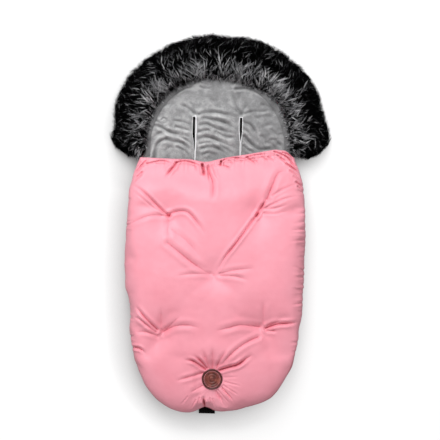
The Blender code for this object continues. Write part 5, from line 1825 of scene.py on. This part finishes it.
# Patch: radius and height of each row of its leather and of its raised rim, points in a round,
# how far from round it is, and its stitches: number, radius, lift and sizes
PATCH_ROWS = (
    (0.0, 0.0024), (0.003, 0.0023), (0.006, 0.0021), (0.0068, 0.0009), (0.0078, 0.0009),
    (0.0086, 0.0021), (0.013, 0.0019), (0.0138, 0.0007), (0.0150, 0.0007), (0.0156, 0.0018),
    (0.0205, 0.0016), (0.0222, 0.0012), (0.0228, 0.0016))
PATCH_RIM_ROWS = (
    (0.0226, 0.0010), (0.0229, 0.0024), (0.0240, 0.0034), (0.0255, 0.0036), (0.0268, 0.0031),
    (0.0275, 0.0018), (0.0275, 0.0), (0.0230, 0.0))
PATCH_SIDES = 96
PATCH_UNEVEN = ((3, 1.0, 0.012), (5, 0.0, 0.008))
PATCH_STITCHES = 44
STITCH_RADIUS = 0.0213
STITCH_LIFT = 0.0016
STITCH = (0.0021, 0.0006, 0.0006)


# Round leather disc with pressed rings, its rim and its stitches
def build_patch(looks):
    place = photo(*PATCH_PIXEL, COVER_LEVEL).to_3d()
    place.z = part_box("leather_patch")[0][2] + PATCH_GAP
    turns = [2 * math.pi * n / PATCH_SIDES for n in range(PATCH_SIDES)]
    made = []
    for name, rows, look in (("patch_leather", PATCH_ROWS, looks[0]),
                             ("patch_rim", PATCH_RIM_ROWS, looks[1])):
        points = []
        for radius, z in rows:
            for angle in turns:
                reach = radius * (1 + sum(share * math.sin(angle * times + start)
                                          for times, start, share in PATCH_UNEVEN))
                points.append(place + Vector((reach * math.cos(angle),
                                              reach * math.sin(angle), z)))
        piece = new_object(name, points, ring_faces(len(rows), PATCH_SIDES), look)
        weld(piece, FINE_WELD)
        made.append(piece)
    stitches = []
    for n in range(PATCH_STITCHES):
        angle = 2 * math.pi * n / PATCH_STITCHES
        way = Vector((-math.sin(angle), math.cos(angle), 0))
        centre = place + Vector((math.cos(angle), math.sin(angle), 0)) * STITCH_RADIUS
        centre.z += STITCH_LIFT
        stitches.append((centre, way))
    made.append(block_row("patch_stitches", stitches, *STITCH, looks[2]))
    return made


# Toe loop: reach past its solid at the free and the sewn end, move to the side, thickness of the
# webbing, radius of the fold, steps of the fold and across, slope, and height of its ripples
TAB_REACH = 0.012
TAB_SEWN = 0.006
TAB_SHIFT = 0.003
TAB_THICK = 0.0016
TAB_FOLD = 0.0024
TAB_STEPS = 8
TAB_COLUMNS = 40
TAB_SLOPE = 0.20
TAB_RIPPLE = 0.0003


# Webbing loop at the toe: strip folded over at its free end
def build_tab(look):
    low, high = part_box("foot_tab")
    foot, top = low[1] - TAB_REACH, high[1] + TAB_SEWN
    z = (low[2] + high[2]) / 2

    def side_line(radius):
        turns = [math.pi / 2 + math.pi * n / TAB_STEPS for n in range(TAB_STEPS + 1)]
        bend = [(foot + TAB_FOLD + radius * math.cos(turn), z + radius * math.sin(turn))
                for turn in turns]
        return [(top, z + radius), *bend, (top, z - radius)]

    outer = side_line(TAB_FOLD)
    ring = outer + side_line(TAB_FOLD - TAB_THICK)[::-1]
    points = []
    for n in range(TAB_COLUMNS + 1):
        x = low[0] + TAB_SHIFT + (high[0] - low[0]) * n / TAB_COLUMNS
        for y, level in ring:
            points.append((x, y, level + TAB_RIPPLE * math.sin(x * 900) + TAB_SLOPE * (top - y)))
    size = len(ring)
    faces = ring_faces(TAB_COLUMNS + 1, size)
    for row in (0, TAB_COLUMNS):
        for n in range(len(outer) - 1):
            faces.append((row * size + n, row * size + n + 1,
                          row * size + size - 2 - n, row * size + size - 1 - n))
    made = new_object("webbing_tab", points, faces, look)
    weld(made, FINE_WELD)
    return made


# Threads: distance of the hem's stitches from its ends, their length, pitch and radius; length,
# spacing, radius and bow of the tacks' strands; lift over the cover; sides of both
HEM_STITCH_START = 0.014
HEM_STITCH = 0.0034
HEM_STITCH_PITCH = 0.0052
HEM_THREAD = 0.00035
TACK_HALF = 0.0016
TACK_SPACING = 0.0005
TACK_THREAD = 0.00024
TACK_BOW = 0.0005
TACK_STRANDS = 4
THREAD_LIFT = 0.0001
THREAD_SIDES = 5


# Stitches along the hem: dashes that follow the cover's surface
def build_hem_stitches(cover, look):
    pieces = []
    x = -HEM_HALF + HEM_STITCH_START
    while x < HEM_HALF - HEM_STITCH_START:
        run = []
        for n in range(4):
            at = x + HEM_STITCH * n / 3
            y = float(hem_line(at)) - HEM_BAND
            run.append(Vector((at, y, surface_z(cover, at, y, COVER_TOP) + THREAD_LIFT)))
        pieces.append(tube("stitch", run, HEM_THREAD, look, THREAD_SIDES))
        x += HEM_STITCH_PITCH
    return joined("hem_stitches", pieces)


# Thread tack in a tuft: a few strands side by side
def build_tack(number, cover, look):
    place = photo(*TUFTS[number], COVER_LEVEL)
    z = surface_z(cover, place.x, place.y, COVER_TOP)
    pieces = []
    for n in range(TACK_STRANDS):
        off = n - (TACK_STRANDS - 1) / 2
        angle = 0.5 + number * 0.7 + 0.12 * off
        way = Vector((math.cos(angle), math.sin(angle), 0))
        side = Vector((-way.y, way.x, 0)) * TACK_SPACING * off
        run = []
        for share in (n / 3 - 1 for n in range(7)):
            run.append(Vector((place.x, place.y, z)) + way * TACK_HALF * share + side
                       + Vector((0, 0, TACK_BOW * (1 - share * share) + THREAD_LIFT)))
        pieces.append(tube("strand", run, TACK_THREAD, look, THREAD_SIDES))
    return joined("thread_tack_%d" % (number + 1), pieces)


# Looks shared by the pieces
PINK = pink_nylon()
PLUSH = plush_look()
PIPING = piping_look()
WEBBING = webbing_look()
METAL = metal_look()
THREAD = thread_look()
HIDE = pelt_look()
# Black walls inside the slots: painted shadow
SLOT_SHADOW = plain_look("slot_painted_shadow", linear(3, 3, 3), 0.95, 0.0)

cover = build_cover(PINK)
lining = build_lining(PLUSH)
plush = build_plush(PLUSH, SLOT_SHADOW)
back = build_back(PINK, SLOT_SHADOW)
pelt = build_pelt(HIDE)
strands = build_fur()
pipings = [build_piping(side, plush, PIPING) for side in (-1, 1)]
crotch = build_crotch_piping(PIPING)
teeth = build_teeth(METAL)
patch = build_patch((leather_look(), rim_look(), THREAD))
tab = build_tab(WEBBING)
stitches = build_hem_stitches(cover, THREAD)
tacks = [build_tack(number, cover, THREAD) for number in range(len(TUFTS))]

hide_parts("flap_shell", "flap_wadding", "foot_shell", "foot_wadding", "hem_binding",
            "hem_elastic")
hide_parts("flap_lining", "foot_lining")
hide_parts("back_shell", "hood_shell")
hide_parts("back_liner", "hood_liner", "back_wadding", "hood_wadding")
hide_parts("slot_welt_left", "hood_welt_left")
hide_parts("slot_welt_right", "hood_welt_right")
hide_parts("crotch_slot_welt")
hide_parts("fur_trim")
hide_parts("leather_patch")
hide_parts("foot_tab")
for tack, node in zip(tacks, ("tuft_tack_flap_left", "tuft_tack_flap_right", "tuft_tack_centre",
                              "tuft_tack_foot_left", "tuft_tack_foot_right")):
    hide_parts(node)

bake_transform(cover)
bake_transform(lining)
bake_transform(plush)
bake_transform(back)
for piping in pipings:
    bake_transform(piping)
for piece in (crotch, tab, *patch):
    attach(piece, "back")
for piece in (pelt, *strands):
    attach(piece, "hood")
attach(stitches, "flap")
for tack, body in zip(tacks, ("flap", "flap", "back", "back", "back")):
    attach(tack, body)
for piece, body in teeth.values():
    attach(piece, body)


# Gives solids of the frame a look
def dress(names, look):
    for name in names:
        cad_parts[name].data.materials.clear()
        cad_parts[name].data.materials.append(look)


METAL_PARTS = ["zip_" + word + side for word in ("slider", "pull", "stop")
               for side in ("_left", "_right")]
TAPE_PARTS = ["zip_tape_" + word for word in ("back", "foot", "flap_left", "flap_right")]
EDGE_WIDTH = 0.00025
dress(METAL_PARTS, METAL)
for name in METAL_PARTS:
    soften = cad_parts[name].modifiers.new("soften", "BEVEL")
    soften.width = EDGE_WIDTH
    soften.segments = 2
    soften.limit_method = "ANGLE"
dress(TAPE_PARTS, fabric_look("pink_zip_tape", linear(226, 138, 152), linear(238, 150, 164), 0.7,
                              weave=6000.0, weave_depth=0.00015, mottle=50.0))
dress(("anchor_band",), WEBBING)
dress(("fur_tape",), PLUSH)

# Floor, lights and camera: the floor's half size and level, how brightly it glows to the camera in
# the open and the reach of the painted contact shadow that dims this glow near the object, the
# strength of the light from all round
FLOOR_HALF = 40
FLOOR_Z = -0.0012
FLOOR_GLOW = 0.735
SHADE_REACH = 0.115
WORLD_LIGHT = 0.47
floor_look = Look("pale_floor", 0.9)
# The floor glows to the camera, dimmed by occlusion from nearby pieces with its up way tilted
# towards +x and +y: painted contact shadow, wider to the left of and below the object
seen = floor_look.node("ShaderNodeLightPath").outputs["Is Camera Ray"]
upward = floor_look.node("ShaderNodeCombineXYZ", {"X": 0.42, "Y": 0.42, "Z": 1.0})
nearby = floor_look.node("ShaderNodeAmbientOcclusion", {
    "Distance": SHADE_REACH, "Normal": upward.outputs["Vector"]}, samples=24)
open_sky = floor_look.node("ShaderNodeMapRange", {
    "Value": nearby.outputs["AO"], "From Min": 0.15, "From Max": 0.88}).outputs["Result"]
floor_look.use("Base Color", (0.32, 0.32, 0.32, 1.0))
floor_look.use("Specular IOR Level", 0.0)
floor_look.use("Emission Color", (1.0, 1.0, 1.0, 1.0))
glow = floor_look.math("MULTIPLY", open_sky, FLOOR_GLOW)
floor_look.use("Emission Strength", floor_look.math("MULTIPLY", seen, glow))
floor_ends = ((-1, -1), (1, -1), (1, 1), (-1, 1))
floor = new_object("floor", [(a * FLOOR_HALF, b * FLOOR_HALF, FLOOR_Z) for a, b in floor_ends],
                   [(0, 1, 2, 3)], floor_look.material, smooth=False)


# Round soft light aimed at the origin
def add_light(name, place, size, power):
    lamp = bpy.data.lights.new(name, "AREA")
    lamp.shape = "DISK"
    lamp.size = size
    lamp.energy = power
    made = linked(name, lamp)
    made.location = place
    made.rotation_euler = (-Vector(place)).to_track_quat("-Z", "Y").to_euler()


add_light("key", (-0.48, 1.55, 2.05), 1.5, 56.0)
add_light("top", (0.1, 0.2, 3.3), 1.8, 8.0)

world = bpy.data.worlds.new("studio")
world.use_nodes = True
backdrop = world.node_tree.nodes["Background"]
backdrop.inputs["Color"].default_value = (1.0, 1.0, 1.0, 1.0)
backdrop.inputs["Strength"].default_value = WORLD_LIGHT
bpy.context.scene.world = world

view_middle = photo(*PHOTO_MIDDLE)
camera_data = bpy.data.cameras.new("camera")
camera_data.lens = LENS
camera_data.sensor_width = SENSOR
camera = linked("camera", camera_data)
camera.location = (view_middle.x, view_middle.y, AIM_LEVEL + EYE_FAR)
camera.rotation_euler = (0.0, 0.0, LEAN)
bpy.context.scene.camera = camera
bpy.context.scene.view_settings.view_transform = "Standard"
